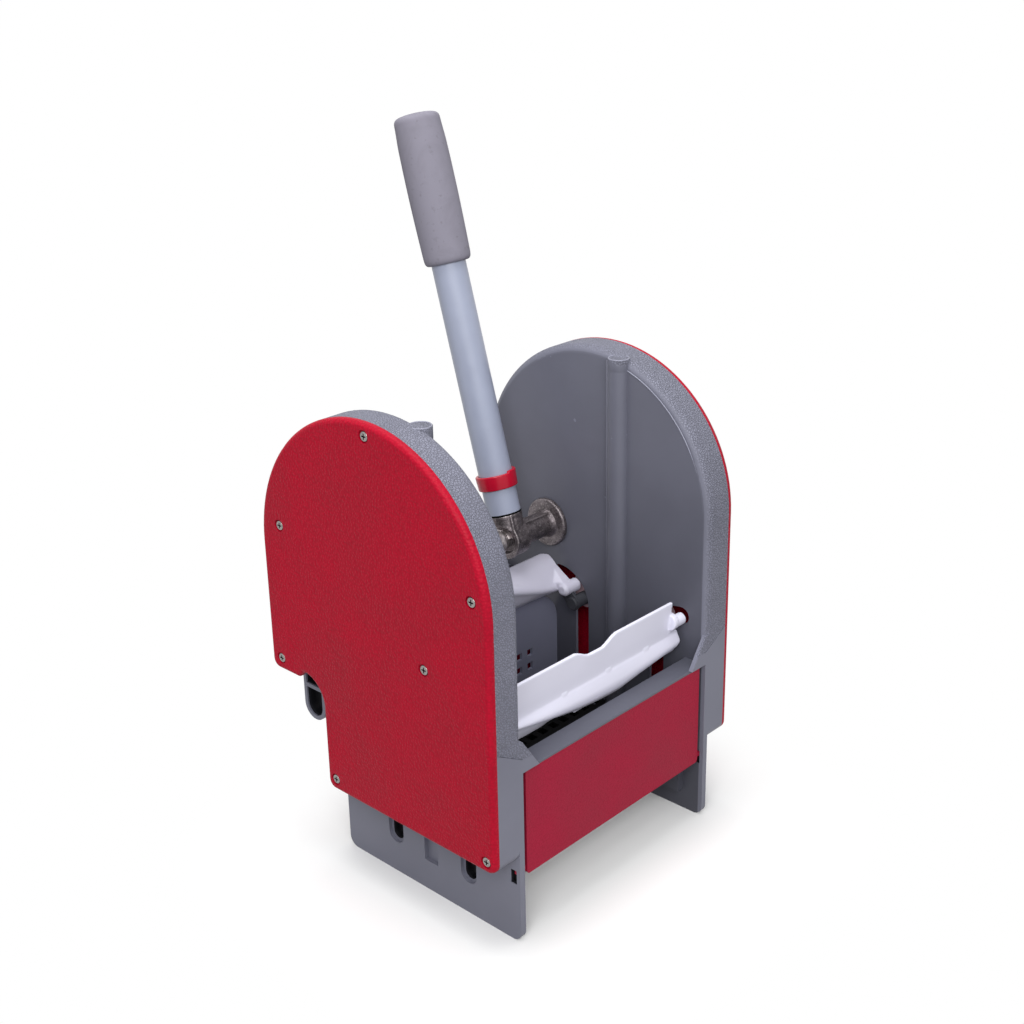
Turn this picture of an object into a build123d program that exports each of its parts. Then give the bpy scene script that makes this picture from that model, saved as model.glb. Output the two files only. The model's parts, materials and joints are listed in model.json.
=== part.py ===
from build123d import *
import math
import os

# A down-press mop wringer. Millimetres. +X runs across the wringer, -Y is its front, +Z is up.
# The origin is midway between the sides, under the crown of their arches, at the level of the feet.

# Side frames: an inner wall with a rim round it, closed outside by a cover
inner_half = 112.0
side_radius = 125.0
arch_z = 275.0
wall = 3.0
housing_depth = 26.9
housing_bottom = 73.0
rear_leg_y = 63.0
step_z = 162.0
notch_radius = 23.0
notch_rise = 6.5
notch_lip = 7.0
notch_lip_radius = 7.5
notch_hollow_radius = 5.0
housing_corner = 8.0
wall_edge_radius = 7.0
seam_inner_z = 158.0
seam_outer_z = 173.0
seam_width = 0.7
seam_depth = 0.5
slack = 0.3

# Feet below the covers
foot_heel = 9.5
foot_thickness = 5.5
foot_corner = 9.0
foot_slot_width = 17.0
foot_slot_height = 38.0
foot_slot_bottom = 28.0
foot_slot_lip = 2.5
foot_slot_recess = 3.0
foot_slot_skin = 2.0
foot_slot_ys = (13.3, -69.7)
foot_recess_y = -27.5
foot_recess_width = 15.0
foot_recess_bottom = 27.0
foot_recess_depth = 4.0
foot_ledge_depth = 6.0
foot_ledge_bottom = 18.0
snap_hole_inset = 6.5
snap_hole_width = 6.0
snap_hole_z = 57.0
snap_hole_height = 12.0
snap_tab_sink = 1.5

# Rear hook tabs
hook_rear_gap = 2.0
hook_inset = 8.0
hook_width = 26.0
hook_root = 12.0
hook_bottom = 105.0
hook_depth = 12.0
hook_wall = 3.5
hook_rib_z = 135.0

# Half-round rib on each inner wall
rib_y = -30.0
rib_radius = 9.3
rib_end_gap = 5.6

# Gussets over the ends of the front rail
gusset_width = 18.0
gusset_height = 26.0
gusset_thickness = 4.0

# Covers and their screws
cover_rise = 5.8
cover_skin = 3.0
cover_edge_radius = 4.2
screw_recess_radius = 5.0
screw_recess_depth = 1.6
screw_recess_rim = 1.0
screw_head_sink = 1.0
screw_head_radius = 4.0
screw_head_height = 2.2
screw_shank_radius = 1.7
screw_length = 16.0
screw_edge = 0.8
screw_post_radius = 4.4
cross_width = 1.1
cross_length = 4.6
cross_depth = 1.3
fit_gap = 0.05

# Basin between the sides
basin_back_gap = 22.0
basin_front_gap = 21.0
panel_thickness = 3.0
back_wall_top = 167.0
back_wall_corner = 28.0
floor_top = 74.0
floor_thickness = 4.0
hole_pitch = 13.7
wall_hole = 7.0
wall_hole_rows = 3
wall_hole_top_z = 116.5
floor_hole = 7.5
floor_margin = 2.0
rail_top = 147.0
rail_thickness = 3.5
rail_cap = 1.8
rail_edge_radius = 1.2
front_panel_inset = 2.3
front_panel_end_gap = 5.0
front_panel_bottom = 55.6
back_panel_inset = 2.3
panel_corner = 3.0
frame_screw_radius = 2.0
frame_screw_length = 16.0
frame_screw_head_radius = 3.8
frame_screw_head_height = 2.4
frame_screw_boss_radius = 4.6
frame_screw_boss_sink = 1.5
front_screw_zs = (98.0, 128.0)
back_screw_zs = (98.0, 134.0)

# Jaw pins and the slots that they run in
pin_inset = 30.5
pin_floor_gap = 7.1
pin_radius = 6.0
pin_chamfer = 0.6
slot_play = 3.0
slot_end_room = 1.0
slot_bend_radius = 25.9
slot_bend_drop = 7.5

# Lever shaft, sector gear and rack
shaft_y = 49.2
shaft_z = 230.4
lever_x = 61.0
lever_tilt = 15.4
lever_swing = 100.0
tooth_module = 3.0
gear_teeth = 28
pressure_angle = 20.0
backlash = 0.5
gear_hub_radius = 17.0
gear_gap = 1.5
shaft_radius = 10.0
journal_radius = 9.0
square_side = 12.4
flange_radius = 22.0
flange_thickness = 4.6
flange_edge = 1.2
bush_thickness = 4.0
bush_flange = 4.0
bush_flange_thickness = 2.5
end_washer_radius = 12.0
end_washer_thickness = 2.0
end_screw_radius = 4.0
end_screw_head_radius = 6.5
end_screw_head_height = 4.0
end_screw_length = 16.0
end_screw_gap = 0.9

# Carriage and guide rod
carriage_gap = 1.5
carriage_thickness = 4.0
carriage_drop = 8.0
carriage_rise = 20.0
carriage_overhang = 13.0
carriage_corner = 8.0
sleeve_thickness = 4.0
sleeve_rise = 56.0
rod_radius = 5.0
rod_chamfer = 0.8
rod_boss_height = 7.0
rod_beyond_sleeve = 84.0
boss_thickness = 3.6
boss_length = 11.0
rack_back_width = 10.0
clip_width = 3.0
clip_thickness = 1.5

# Lever
socket_end = 21.5
socket_step = 0.05
socket_web_radius = 16.5
spigot_gap = 0.35
spigot_end = 75.0
tube_radius = 14.75
tube_wall = 2.0
tube_end = 362.0
collar_start = 43.5
collar_end = 56.0
collar_thickness = 3.2
collar_edge = 1.2
grip_start = 242.0
grip_end = 368.0
grip_bottom_thickness = 3.45
grip_mid_thickness = 5.75
grip_top_thickness = 4.55
grip_edge = 5.0
tube_pin_radius = 2.5

# Jaws, placed from their pins
jaw_side_gap = 8.0
jaw_plate = 3.6
jaw_tip_out = 28.5
jaw_tip_rise = 37.5
jaw_fold_out = 22.5
jaw_fold_rise = 3.0
jaw_web = 7.0
jaw_hub_thickness = 3.5
jaw_belly_out = 14.5
jaw_belly_drop = 4.0
jaw_belly_mid = 15.0
jaw_belly_end = 6.5
nub_out = 26.0
nub_rise = 16.5
nub_slot_gap = 2.3
notch_half = 27.0
notch_flat_half = 9.0
notch_depth = 9.5

# Worked-out places on the sides
wall_out = inner_half + wall
cover_joint = inner_half + housing_depth
cover_out = cover_joint + cover_rise
side_top = arch_z + side_radius
foot_rear_y = rear_leg_y + foot_heel
foot_out = inner_half + foot_thickness
snap_hole_y = snap_hole_inset - side_radius
foot_ledge_in = inner_half - foot_ledge_depth
notch_top_y = rear_leg_y + notch_radius
notch_z = step_z + notch_rise - notch_radius
hook_rear_y = side_radius - hook_rear_gap
hook_front_y = hook_rear_y - hook_width
hook_in = inner_half - hook_inset
rib_top = side_top - rib_end_gap

# Worked-out places in the basin
basin_back_y = rear_leg_y - basin_back_gap
basin_front_y = basin_front_gap - side_radius
basin_depth = basin_back_y - basin_front_y
basin_mid_y = (basin_front_y + basin_back_y) / 2
panel_front_y = front_panel_inset - side_radius
panel_half = inner_half - front_panel_end_gap
wall_hole_columns = int(2 * (inner_half - back_wall_corner) / hole_pitch)
floor_hole_columns = int(2 * (inner_half - floor_margin) / hole_pitch)
floor_hole_rows = int((basin_depth - 2 * floor_margin) / hole_pitch)
boss_reach = panel_thickness + frame_screw_boss_radius - frame_screw_boss_sink
front_screw_points = [(basin_front_y - boss_reach, z) for z in front_screw_zs]
back_screw_points = [(basin_back_y + boss_reach, z) for z in back_screw_zs]
cover_screw_points = (
    (-5.0, side_top - 10.0),
    (side_radius - 23.0, arch_z + 17.5),
    (16.0 - side_radius, arch_z + 16.6),
    (side_radius - 12.4, step_z + 11.0),
    (basin_mid_y - 26.0, arch_z - 54.0),
    (rear_leg_y - 10.0, housing_bottom + 10.4),
    (8.6 - side_radius, housing_bottom + 9.7),
)

# Worked-out places of the drive, from the wall outwards
pitch_radius = tooth_module * gear_teeth / 2
tooth_pitch = math.pi * tooth_module
addendum = tooth_module
dedendum = 1.25 * tooth_module
pitch_line_y = shaft_y - pitch_radius
press_travel = pitch_radius * math.radians(lever_swing)
carriage_in = wall_out + carriage_gap
carriage_out = carriage_in + carriage_thickness
gear_in = carriage_out + gear_gap
gear_out = cover_joint - end_screw_gap - end_screw_head_height - end_washer_thickness
gear_width = gear_out - gear_in
bush_radius = journal_radius + bush_thickness
bush_flange_radius = bush_radius + bush_flange
boss_radius = pin_radius + boss_thickness
boss_out = carriage_in + boss_length
clip_radius = pin_radius + clip_width
slot_width = 2 * pin_radius + slot_play
pin_half_spacing = basin_depth / 2 - pin_inset
pin_back_y = basin_back_y - pin_inset
pin_low_z = housing_bottom + wall + pin_floor_gap + boss_radius
pin_rest_z = pin_low_z + press_travel
slot_low_z = pin_low_z - slot_end_room
slot_bend_z = pin_rest_z - slot_bend_drop
carriage_bottom = pin_rest_z - carriage_drop
carriage_top = pin_rest_z + carriage_rise
rack_bottom = pin_rest_z + clip_radius + slot_end_room
rod_x = (wall_out + cover_joint) / 2
sleeve_radius = rod_radius + sleeve_thickness
sleeve_top = pin_rest_z + sleeve_rise
rod_top = sleeve_top + rod_beyond_sleeve

# Worked-out places of the lever
socket_radius = tube_radius - socket_step
spigot_radius = tube_radius - tube_wall - spigot_gap
tube_pin_height = (collar_start + collar_end) / 2
grip_bottom_radius = tube_radius + grip_bottom_thickness
grip_mid_radius = tube_radius + grip_mid_thickness
grip_top_radius = tube_radius + grip_top_thickness
sin_tilt = math.sin(math.radians(lever_tilt))
cos_tilt = math.cos(math.radians(lever_tilt))
lever_foot = (lever_x, shaft_y, shaft_z)
lever_axis = Axis(lever_foot, (0, sin_tilt, cos_tilt))
lever_plane = Plane(lever_foot, x_dir=(1, 0, 0), z_dir=(0, sin_tilt, cos_tilt))
lever_profile = Plane(lever_foot, x_dir=(1, 0, 0), z_dir=(0, -cos_tilt, sin_tilt))

# Worked-out places of the back jaw
jaw_half_length = inner_half - jaw_side_gap
jaw_hub_radius = pin_radius + jaw_hub_thickness
jaw_tip_y = pin_back_y + jaw_tip_out
jaw_tip_z = pin_rest_z + jaw_tip_rise
jaw_fold_y = pin_back_y + jaw_fold_out
jaw_fold_z = pin_rest_z + jaw_fold_rise
jaw_belly_y = pin_back_y + jaw_belly_out
jaw_belly_z = pin_rest_z - jaw_belly_drop
nub_y = pin_back_y + nub_out
nub_z = pin_rest_z + nub_rise
nub_radius = slot_width / 2 - nub_slot_gap
jaw_mirror = Plane.XZ.offset(-basin_mid_y)


def side_plane(x):
    """A sketch plane square to X, where sketch points are (y, z)."""
    return Plane.YZ.offset(x)


# Side frames: an arched outline with a bite out of its rear, behind the leg
with BuildSketch(side_plane(0)) as housing_face:
    with BuildLine():
        Line((-side_radius, housing_bottom), (-side_radius, arch_z))
        ThreePointArc((-side_radius, arch_z), (0, side_top), (side_radius, arch_z))
        Line((side_radius, arch_z), (side_radius, step_z))
        Line((side_radius, step_z), (notch_top_y + notch_lip, step_z))
        Line((notch_top_y + notch_lip, step_z), (notch_top_y, notch_z + notch_radius))
        CenterArc((notch_top_y, notch_z), notch_radius, 90, 90)
        Line((rear_leg_y, notch_z), (rear_leg_y, housing_bottom))
        Line((rear_leg_y, housing_bottom), (-side_radius, housing_bottom))
    make_face()
    fillet(vertices().sort_by_distance((notch_top_y, notch_z + notch_radius))[0], notch_hollow_radius)
    fillet(vertices().group_by(Axis.Y)[0], housing_corner)
    step_corners = vertices().filter_by(lambda v: abs(v.Y - step_z) < slack).sort_by(Axis.X)
    fillet(step_corners[-1], housing_corner)
    fillet(step_corners[0], notch_lip_radius)

with BuildSketch(side_plane(0)) as pocket_face:
    add(housing_face.sketch_local)
    offset(amount=-wall, mode=Mode.REPLACE)

with BuildPart() as right_side_frame:
    housing_block = extrude(housing_face.sketch, amount=housing_depth, mode=Mode.PRIVATE)
    add(housing_block.moved(Location((inner_half, 0, 0))))
    inner_edges = edges().group_by(Axis.X)[0].filter_by(lambda e: e.center().Z > arch_z)
    fillet(inner_edges, wall_edge_radius)
    # below the seam the front edge is sharp
    with BuildSketch(side_plane(inner_half)):
        with Locations((-side_radius, housing_bottom + housing_corner)):
            sharp_length = seam_inner_z - housing_bottom - housing_corner
            Rectangle(wall_edge_radius, sharp_length, align=(Align.MIN, Align.MIN))
    extrude(amount=wall_edge_radius)
    tray_space = extrude(pocket_face.sketch, amount=housing_depth, mode=Mode.PRIVATE)
    add(tray_space.moved(Location((wall_out, 0, 0))), mode=Mode.SUBTRACT)
    # foot plate
    with BuildSketch(side_plane(inner_half)) as foot_face:
        with BuildLine():
            Polyline(
                (-side_radius, housing_bottom + housing_corner),
                (-side_radius, 0),
                (foot_rear_y, 0),
                (foot_rear_y, housing_bottom - wall),
                (rear_leg_y - wall, housing_bottom + wall),
                (rear_leg_y - wall, housing_bottom + housing_corner),
                close=True,
            )
        make_face()
        fillet(foot_face.vertices().group_by(Axis.Y)[0], foot_corner)
    extrude(amount=foot_thickness)
    # ledge inside the foot, which carries the drain floor
    with BuildSketch(side_plane(foot_ledge_in)):
        with Locations((basin_mid_y, foot_ledge_bottom)):
            ledge_height = floor_top - floor_thickness - foot_ledge_bottom
            Rectangle(basin_depth, ledge_height, align=(Align.CENTER, Align.MIN))
    extrude(amount=foot_ledge_depth)
    foot_slot_points = [(y, foot_slot_bottom + foot_slot_height / 2) for y in foot_slot_ys]
    lip_both = 2 * foot_slot_lip
    with BuildSketch(side_plane(foot_ledge_in + foot_slot_skin)):
        with Locations(*foot_slot_points):
            SlotOverall(foot_slot_height - lip_both, foot_slot_width - lip_both, rotation=90)
    extrude(amount=foot_out - foot_ledge_in - foot_slot_skin, mode=Mode.SUBTRACT)
    with BuildSketch(side_plane(inner_half)):
        with Locations((snap_hole_y, snap_hole_z)):
            Rectangle(snap_hole_width, snap_hole_height)
    extrude(amount=foot_thickness, mode=Mode.SUBTRACT)
    with BuildSketch(side_plane(foot_out - foot_slot_recess)):
        with Locations(*foot_slot_points):
            SlotOverall(foot_slot_height, foot_slot_width, rotation=90)
    extrude(amount=foot_slot_recess, mode=Mode.SUBTRACT)
    with BuildSketch(side_plane(foot_out - foot_recess_depth)):
        with Locations((foot_recess_y, foot_recess_bottom)):
            Rectangle(foot_recess_width, housing_bottom - foot_recess_bottom, align=(Align.CENTER, Align.MIN))
    extrude(amount=foot_recess_depth, mode=Mode.SUBTRACT)
    # rear hook tab, open outwards, whose root lies on the wall
    with BuildSketch(side_plane(hook_in)) as hook_face:
        with BuildLine():
            hook_mid = hook_rear_y - hook_width / 2
            hook_turn = hook_bottom + hook_width / 2
            hook_top = step_z + hook_root
            Line((hook_rear_y, hook_top), (hook_rear_y, hook_turn))
            ThreePointArc((hook_rear_y, hook_turn), (hook_mid, hook_bottom), (hook_front_y, hook_turn))
            Line((hook_front_y, hook_turn), (hook_front_y, hook_top))
            Line((hook_front_y, hook_top), (hook_rear_y, hook_top))
        make_face()
    extrude(amount=hook_depth)
    with BuildSketch(side_plane(hook_in + wall)):
        with Locations((hook_mid, hook_rib_z + hook_wall / 2)):
            hook_pocket = hook_width - 2 * hook_wall
            Rectangle(hook_pocket, step_z - hook_rib_z - hook_wall / 2, align=(Align.CENTER, Align.MIN))
        with Locations((hook_mid, hook_turn)):
            Circle(hook_pocket / 2)
            Rectangle(hook_pocket, hook_rib_z - hook_wall / 2 - hook_turn, align=(Align.CENTER, Align.MIN))
    extrude(amount=hook_depth, mode=Mode.SUBTRACT)
    # half-round rib with a flat top
    with BuildSketch(Plane.XY.offset(floor_top)):
        with Locations((inner_half, rib_y)):
            Circle(rib_radius)
        with Locations((inner_half, rib_y)):
            Rectangle(2 * rib_radius, 3 * rib_radius, align=(Align.MIN, Align.CENTER), mode=Mode.SUBTRACT)
    extrude(amount=rib_top - floor_top)
    # gusset that meets the front rail
    with BuildSketch(Plane.XZ.offset(side_radius)):
        with BuildLine():
            Polyline(
                (inner_half, rail_top),
                (inner_half - gusset_width, rail_top),
                (inner_half, rail_top + gusset_height),
                close=True,
            )
        make_face()
    extrude(amount=-gusset_thickness)
    with BuildSketch(Plane.XZ.offset(side_radius)):
        with Locations((inner_half, rail_top)):
            Rectangle(wall_edge_radius, gusset_height, align=(Align.MIN, Align.MIN))
    extrude(amount=-gusset_thickness)
    # slanting seam across the front of the rim
    with BuildSketch(Plane.XZ.offset(side_radius)):
        with BuildLine():
            Polyline(
                (inner_half, seam_inner_z),
                (cover_joint, seam_outer_z),
                (cover_joint, seam_outer_z + seam_width),
                (inner_half, seam_inner_z + seam_width),
                close=True,
            )
        make_face()
    extrude(amount=-seam_depth, mode=Mode.SUBTRACT)
    # posts for the cover screws
    with BuildSketch(side_plane(wall_out)):
        with Locations(*cover_screw_points):
            Circle(screw_post_radius)
    extrude(amount=housing_depth - wall)
    # guide rod seats, at the bottom of the tray and on the wall
    with Locations((rod_x, basin_mid_y, housing_bottom + wall)):
        Box(
            2 * sleeve_radius, 2 * sleeve_radius, rod_boss_height,
            align=(Align.CENTER, Align.CENTER, Align.MIN),
        )
    with Locations((wall_out, basin_mid_y, rod_top)):
        Box(
            rod_x + sleeve_radius - wall_out, 2 * sleeve_radius, rod_boss_height + wall,
            align=(Align.MIN, Align.CENTER, Align.MAX),
        )
    with Locations((rod_x, basin_mid_y, housing_bottom + wall)):
        Cylinder(
            rod_radius + fit_gap, rod_top - housing_bottom, mode=Mode.SUBTRACT,
            align=(Align.CENTER, Align.CENTER, Align.MIN),
        )
    # jaw slots: a straight run that bends away from the basin at its top
    with BuildSketch(side_plane(inner_half)) as slot_face:
        with BuildLine(mode=Mode.PRIVATE) as slot_line:
            bend_y = pin_back_y + slot_bend_radius
            Line((pin_back_y, slot_low_z), (pin_back_y, slot_bend_z))
            CenterArc((bend_y, slot_bend_z), slot_bend_radius, 180, -90)
        SlotArc(slot_line.wire(), slot_width)
        mirror(about=Plane((basin_mid_y, 0, 0), z_dir=(1, 0, 0)))
    extrude(amount=wall, mode=Mode.SUBTRACT)
    # holes: shaft bush, cover screws, frame screws
    with BuildSketch(side_plane(inner_half)):
        with Locations((shaft_y, shaft_z)):
            Circle(bush_radius + fit_gap)
        with Locations(*front_screw_points, *back_screw_points):
            Circle(frame_screw_radius + slack)
    extrude(amount=wall, mode=Mode.SUBTRACT)
    with BuildSketch(side_plane(cover_joint - screw_length)):
        with Locations(*cover_screw_points):
            Circle(screw_shank_radius + fit_gap)
    extrude(amount=screw_length, mode=Mode.SUBTRACT)

# Covers
screw_seat = cover_out - screw_recess_depth - screw_head_sink
with BuildPart() as right_cover:
    cover_block = extrude(housing_face.sketch, amount=cover_rise, mode=Mode.PRIVATE)
    add(cover_block.moved(Location((cover_joint, 0, 0))))
    fillet(edges().group_by(Axis.X)[-1], cover_edge_radius)
    cover_space = extrude(pocket_face.sketch, amount=cover_rise - cover_skin, mode=Mode.PRIVATE)
    add(cover_space.moved(Location((cover_joint, 0, 0))), mode=Mode.SUBTRACT)
    with BuildSketch(side_plane(cover_joint)):
        with Locations(*cover_screw_points):
            Circle(screw_recess_radius + screw_recess_rim)
    extrude(amount=cover_rise - cover_skin)
    with BuildSketch(side_plane(cover_out - screw_recess_depth)):
        with Locations(*cover_screw_points):
            Circle(screw_recess_radius)
    extrude(amount=screw_recess_depth, mode=Mode.SUBTRACT)
    with BuildSketch(side_plane(cover_joint)):
        with Locations(*cover_screw_points):
            Circle(screw_shank_radius + slack)
    extrude(amount=cover_rise, mode=Mode.SUBTRACT)
    with BuildSketch(side_plane(screw_seat)):
        with Locations(*cover_screw_points):
            Circle(screw_head_radius + fit_gap)
    extrude(amount=screw_head_height, mode=Mode.SUBTRACT)

# Cover screws: cross recessed pan heads
with BuildPart() as right_cover_screws:
    shank_start = cover_joint - screw_length + screw_head_sink
    with BuildSketch(side_plane(shank_start)):
        with Locations(*cover_screw_points):
            Circle(screw_shank_radius)
    extrude(amount=screw_seat - shank_start)
    with BuildSketch(side_plane(screw_seat)):
        with Locations(*cover_screw_points):
            Circle(screw_head_radius)
    extrude(amount=screw_head_height)
    head_rims = edges().group_by(Axis.X)[-1]
    fillet(head_rims, screw_edge)
    with BuildSketch(side_plane(screw_seat + screw_head_height - cross_depth)):
        with Locations(*cover_screw_points):
            Rectangle(cross_length, cross_width)
            Rectangle(cross_width, cross_length)
    extrude(amount=cross_depth, mode=Mode.SUBTRACT)

# Screws that hold the basin to the side frame
with BuildPart() as right_frame_screws:
    with BuildSketch(side_plane(wall_out - frame_screw_length)):
        with Locations(*front_screw_points, *back_screw_points):
            Circle(frame_screw_radius)
    extrude(amount=frame_screw_length)
    with BuildSketch(side_plane(wall_out)):
        with Locations(*front_screw_points, *back_screw_points):
            Circle(frame_screw_head_radius)
    extrude(amount=frame_screw_head_height)
    fillet(edges().group_by(Axis.X)[-1], screw_edge)


def screw_bosses(points):
    """Round bosses along X on the hidden side of a basin wall, bored for the frame screws."""
    boss_length_x = frame_screw_length + frame_screw_radius
    for side in (-1, 1):
        with BuildSketch(side_plane(side * inner_half)) as boss_face:
            with Locations(*points):
                Circle(frame_screw_boss_radius)
        extrude(boss_face.sketch, amount=-side * boss_length_x)
        with BuildSketch(side_plane(side * inner_half)) as bore_face:
            with Locations(*points):
                Circle(frame_screw_radius + fit_gap)
        extrude(bore_face.sketch, amount=-side * frame_screw_length, mode=Mode.SUBTRACT)


wall_grid_height = (wall_hole_rows - 1) * hole_pitch
wall_grid_z = wall_hole_top_z - wall_grid_height / 2

# Back wall of the basin, with rounded top corners and a grid of square holes
with BuildPart() as back_wall:
    with BuildSketch(Plane.XZ.offset(-basin_back_y)) as back_face:
        with Locations((0, floor_top - floor_thickness)):
            wall_height = back_wall_top - floor_top + floor_thickness
            Rectangle(2 * inner_half, wall_height, align=(Align.CENTER, Align.MIN))
        fillet(back_face.vertices().group_by(Axis.Y)[-1], back_wall_corner)
        with Locations((0, wall_grid_z)):
            with GridLocations(hole_pitch, hole_pitch, wall_hole_columns, wall_hole_rows):
                Rectangle(wall_hole, wall_hole, mode=Mode.SUBTRACT)
    extrude(amount=-panel_thickness)
    screw_bosses(back_screw_points)

# Front wall of the basin, under the rail
with BuildPart() as front_wall:
    with BuildSketch(Plane.XZ.offset(-basin_front_y)) as front_face:
        with Locations((0, floor_top - floor_thickness)):
            front_height = rail_top - rail_thickness - floor_top + floor_thickness
            Rectangle(2 * inner_half, front_height, align=(Align.CENTER, Align.MIN))
        with Locations((0, wall_grid_z)):
            with GridLocations(hole_pitch, hole_pitch, wall_hole_columns, wall_hole_rows):
                Rectangle(wall_hole, wall_hole, mode=Mode.SUBTRACT)
    extrude(amount=panel_thickness)
    screw_bosses(front_screw_points)

# Drain floor
with BuildPart() as drain_floor:
    with BuildSketch(Plane.XY.offset(floor_top)):
        with Locations((0, basin_mid_y)):
            Rectangle(2 * inner_half, basin_depth)
            with GridLocations(hole_pitch, hole_pitch, floor_hole_columns, floor_hole_rows):
                Rectangle(floor_hole, floor_hole, mode=Mode.SUBTRACT)
    extrude(amount=-floor_thickness)

# Front rail: a shelf whose thin front edge caps the front panel
with BuildPart() as front_rail:
    with BuildSketch(side_plane(-inner_half)) as rail_face:
        with BuildLine():
            Polyline(
                (panel_front_y, rail_top),
                (basin_front_y, rail_top),
                (basin_front_y, rail_top - rail_thickness),
                (panel_front_y + panel_thickness, rail_top - rail_thickness),
                (panel_front_y + panel_thickness, rail_top - rail_cap),
                (panel_front_y, rail_top - rail_cap),
                close=True,
            )
        make_face()
        fillet(rail_face.vertices().group_by(Axis.X)[0].sort_by(Axis.Y)[-1], rail_edge_radius)
    extrude(amount=2 * inner_half)

# Front panel with a snap tab into each foot
with BuildPart() as front_panel:
    with BuildSketch(Plane.XZ.offset(-panel_front_y)) as panel_face:
        with Locations((0, rail_top - rail_cap)):
            panel_height = rail_top - rail_cap - front_panel_bottom
            Rectangle(2 * panel_half, panel_height, align=(Align.CENTER, Align.MAX))
        fillet(panel_face.vertices().group_by(Axis.Y)[0], panel_corner)
    extrude(amount=-panel_thickness)
    tab_bottom = front_panel_bottom + panel_corner
    tab_top = snap_hole_z + snap_hole_height / 2 - slack
    for side in (-1, 1):
        with BuildSketch(side_plane(side * (panel_half - panel_thickness))):
            with Locations((snap_hole_y - snap_hole_width / 2 + slack, tab_bottom)):
                Rectangle(panel_thickness, tab_top - tab_bottom, align=(Align.MIN, Align.MIN))
        extrude(amount=side * (foot_out - snap_tab_sink - panel_half + panel_thickness))

# Back panel, closing the rear between the legs
with BuildPart() as back_panel:
    back_panel_y = rear_leg_y - back_panel_inset
    with BuildSketch(Plane.XZ.offset(-back_panel_y)) as back_panel_face:
        with Locations((0, back_wall_top - back_wall_corner)):
            back_panel_height = back_wall_top - back_wall_corner - front_panel_bottom
            Rectangle(2 * inner_half, back_panel_height, align=(Align.CENTER, Align.MAX))
        fillet(back_panel_face.vertices().group_by(Axis.Y)[0], panel_corner)
    extrude(amount=panel_thickness)

# Shaft bush in the inner wall
with BuildPart() as right_shaft_bush:
    with BuildSketch(side_plane(inner_half)):
        with Locations((shaft_y, shaft_z)):
            Circle(bush_radius)
    extrude(amount=wall)
    with BuildSketch(side_plane(wall_out)):
        with Locations((shaft_y, shaft_z)):
            Circle(bush_flange_radius)
    extrude(amount=bush_flange_thickness)
    with BuildSketch(side_plane(inner_half)):
        with Locations((shaft_y, shaft_z)):
            Circle(journal_radius + fit_gap)
    extrude(amount=wall + bush_flange_thickness, mode=Mode.SUBTRACT)

# Guide rod
with BuildPart() as right_guide_rod:
    with Locations((rod_x, basin_mid_y, housing_bottom + wall)):
        Cylinder(rod_radius, rod_top - housing_bottom - wall, align=(Align.CENTER, Align.CENTER, Align.MIN))
    chamfer(edges().filter_by(GeomType.CIRCLE), rod_chamfer)

# Sector gear. Its teeth are involute, drawn through points on the flank.
base_radius = pitch_radius * math.cos(math.radians(pressure_angle))
tip_radius = pitch_radius + addendum
root_radius = pitch_radius - dedendum
tooth_angle = 360 / gear_teeth
teeth_after = math.ceil(lever_swing / tooth_angle) + 1


def involute(angle):
    """The involute function of a pressure angle in radians."""
    return math.tan(angle) - angle


def flank_half_angle(radius):
    """Half the angle that a tooth takes up at a radius, in degrees."""
    tooth_width = tooth_pitch / 2 - backlash / 2
    middle = tooth_width / (2 * pitch_radius) + involute(math.radians(pressure_angle))
    return math.degrees(middle - involute(math.acos(min(1.0, base_radius / radius))))


def gear_point(radius, angle):
    """A point of the gear's outline, at an angle from +Y towards +Z about the shaft."""
    turn = math.radians(angle)
    return (shaft_y + radius * math.cos(turn), shaft_z + radius * math.sin(turn))


def sector_points():
    """The toothed edge of the sector, tooth by tooth, and back to the hub."""
    points = []
    for index in range(-teeth_after, 2):
        middle = 180 + index * tooth_angle
        for radius in (root_radius, base_radius, pitch_radius, tip_radius):
            points.append(gear_point(radius, middle - flank_half_angle(max(radius, base_radius))))
        for radius in (tip_radius, pitch_radius, base_radius, root_radius):
            points.append(gear_point(radius, middle + flank_half_angle(max(radius, base_radius))))
    return points


with BuildPart() as right_sector_gear:
    with BuildSketch(side_plane(gear_in)) as gear_face:
        with BuildLine():
            Polyline(*sector_points(), (shaft_y, shaft_z), close=True)
        make_face()
        with Locations((shaft_y, shaft_z)):
            Circle(gear_hub_radius)
            Rectangle(square_side + 2 * fit_gap, square_side + 2 * fit_gap, mode=Mode.SUBTRACT)
    extrude(amount=gear_width)

with BuildPart() as right_gear_washer:
    with BuildSketch(side_plane(gear_out)):
        with Locations((shaft_y, shaft_z)):
            Circle(end_washer_radius)
            Circle(end_screw_radius + slack, mode=Mode.SUBTRACT)
    extrude(amount=end_washer_thickness)

with BuildPart() as right_gear_screw:
    screw_start = gear_out + end_washer_thickness
    with BuildSketch(side_plane(screw_start)):
        with Locations((shaft_y, shaft_z)):
            RegularPolygon(end_screw_head_radius, 6)
    extrude(amount=end_screw_head_height)
    with BuildSketch(side_plane(screw_start)):
        with Locations((shaft_y, shaft_z)):
            Circle(end_screw_radius)
    extrude(amount=-end_screw_length)


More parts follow.
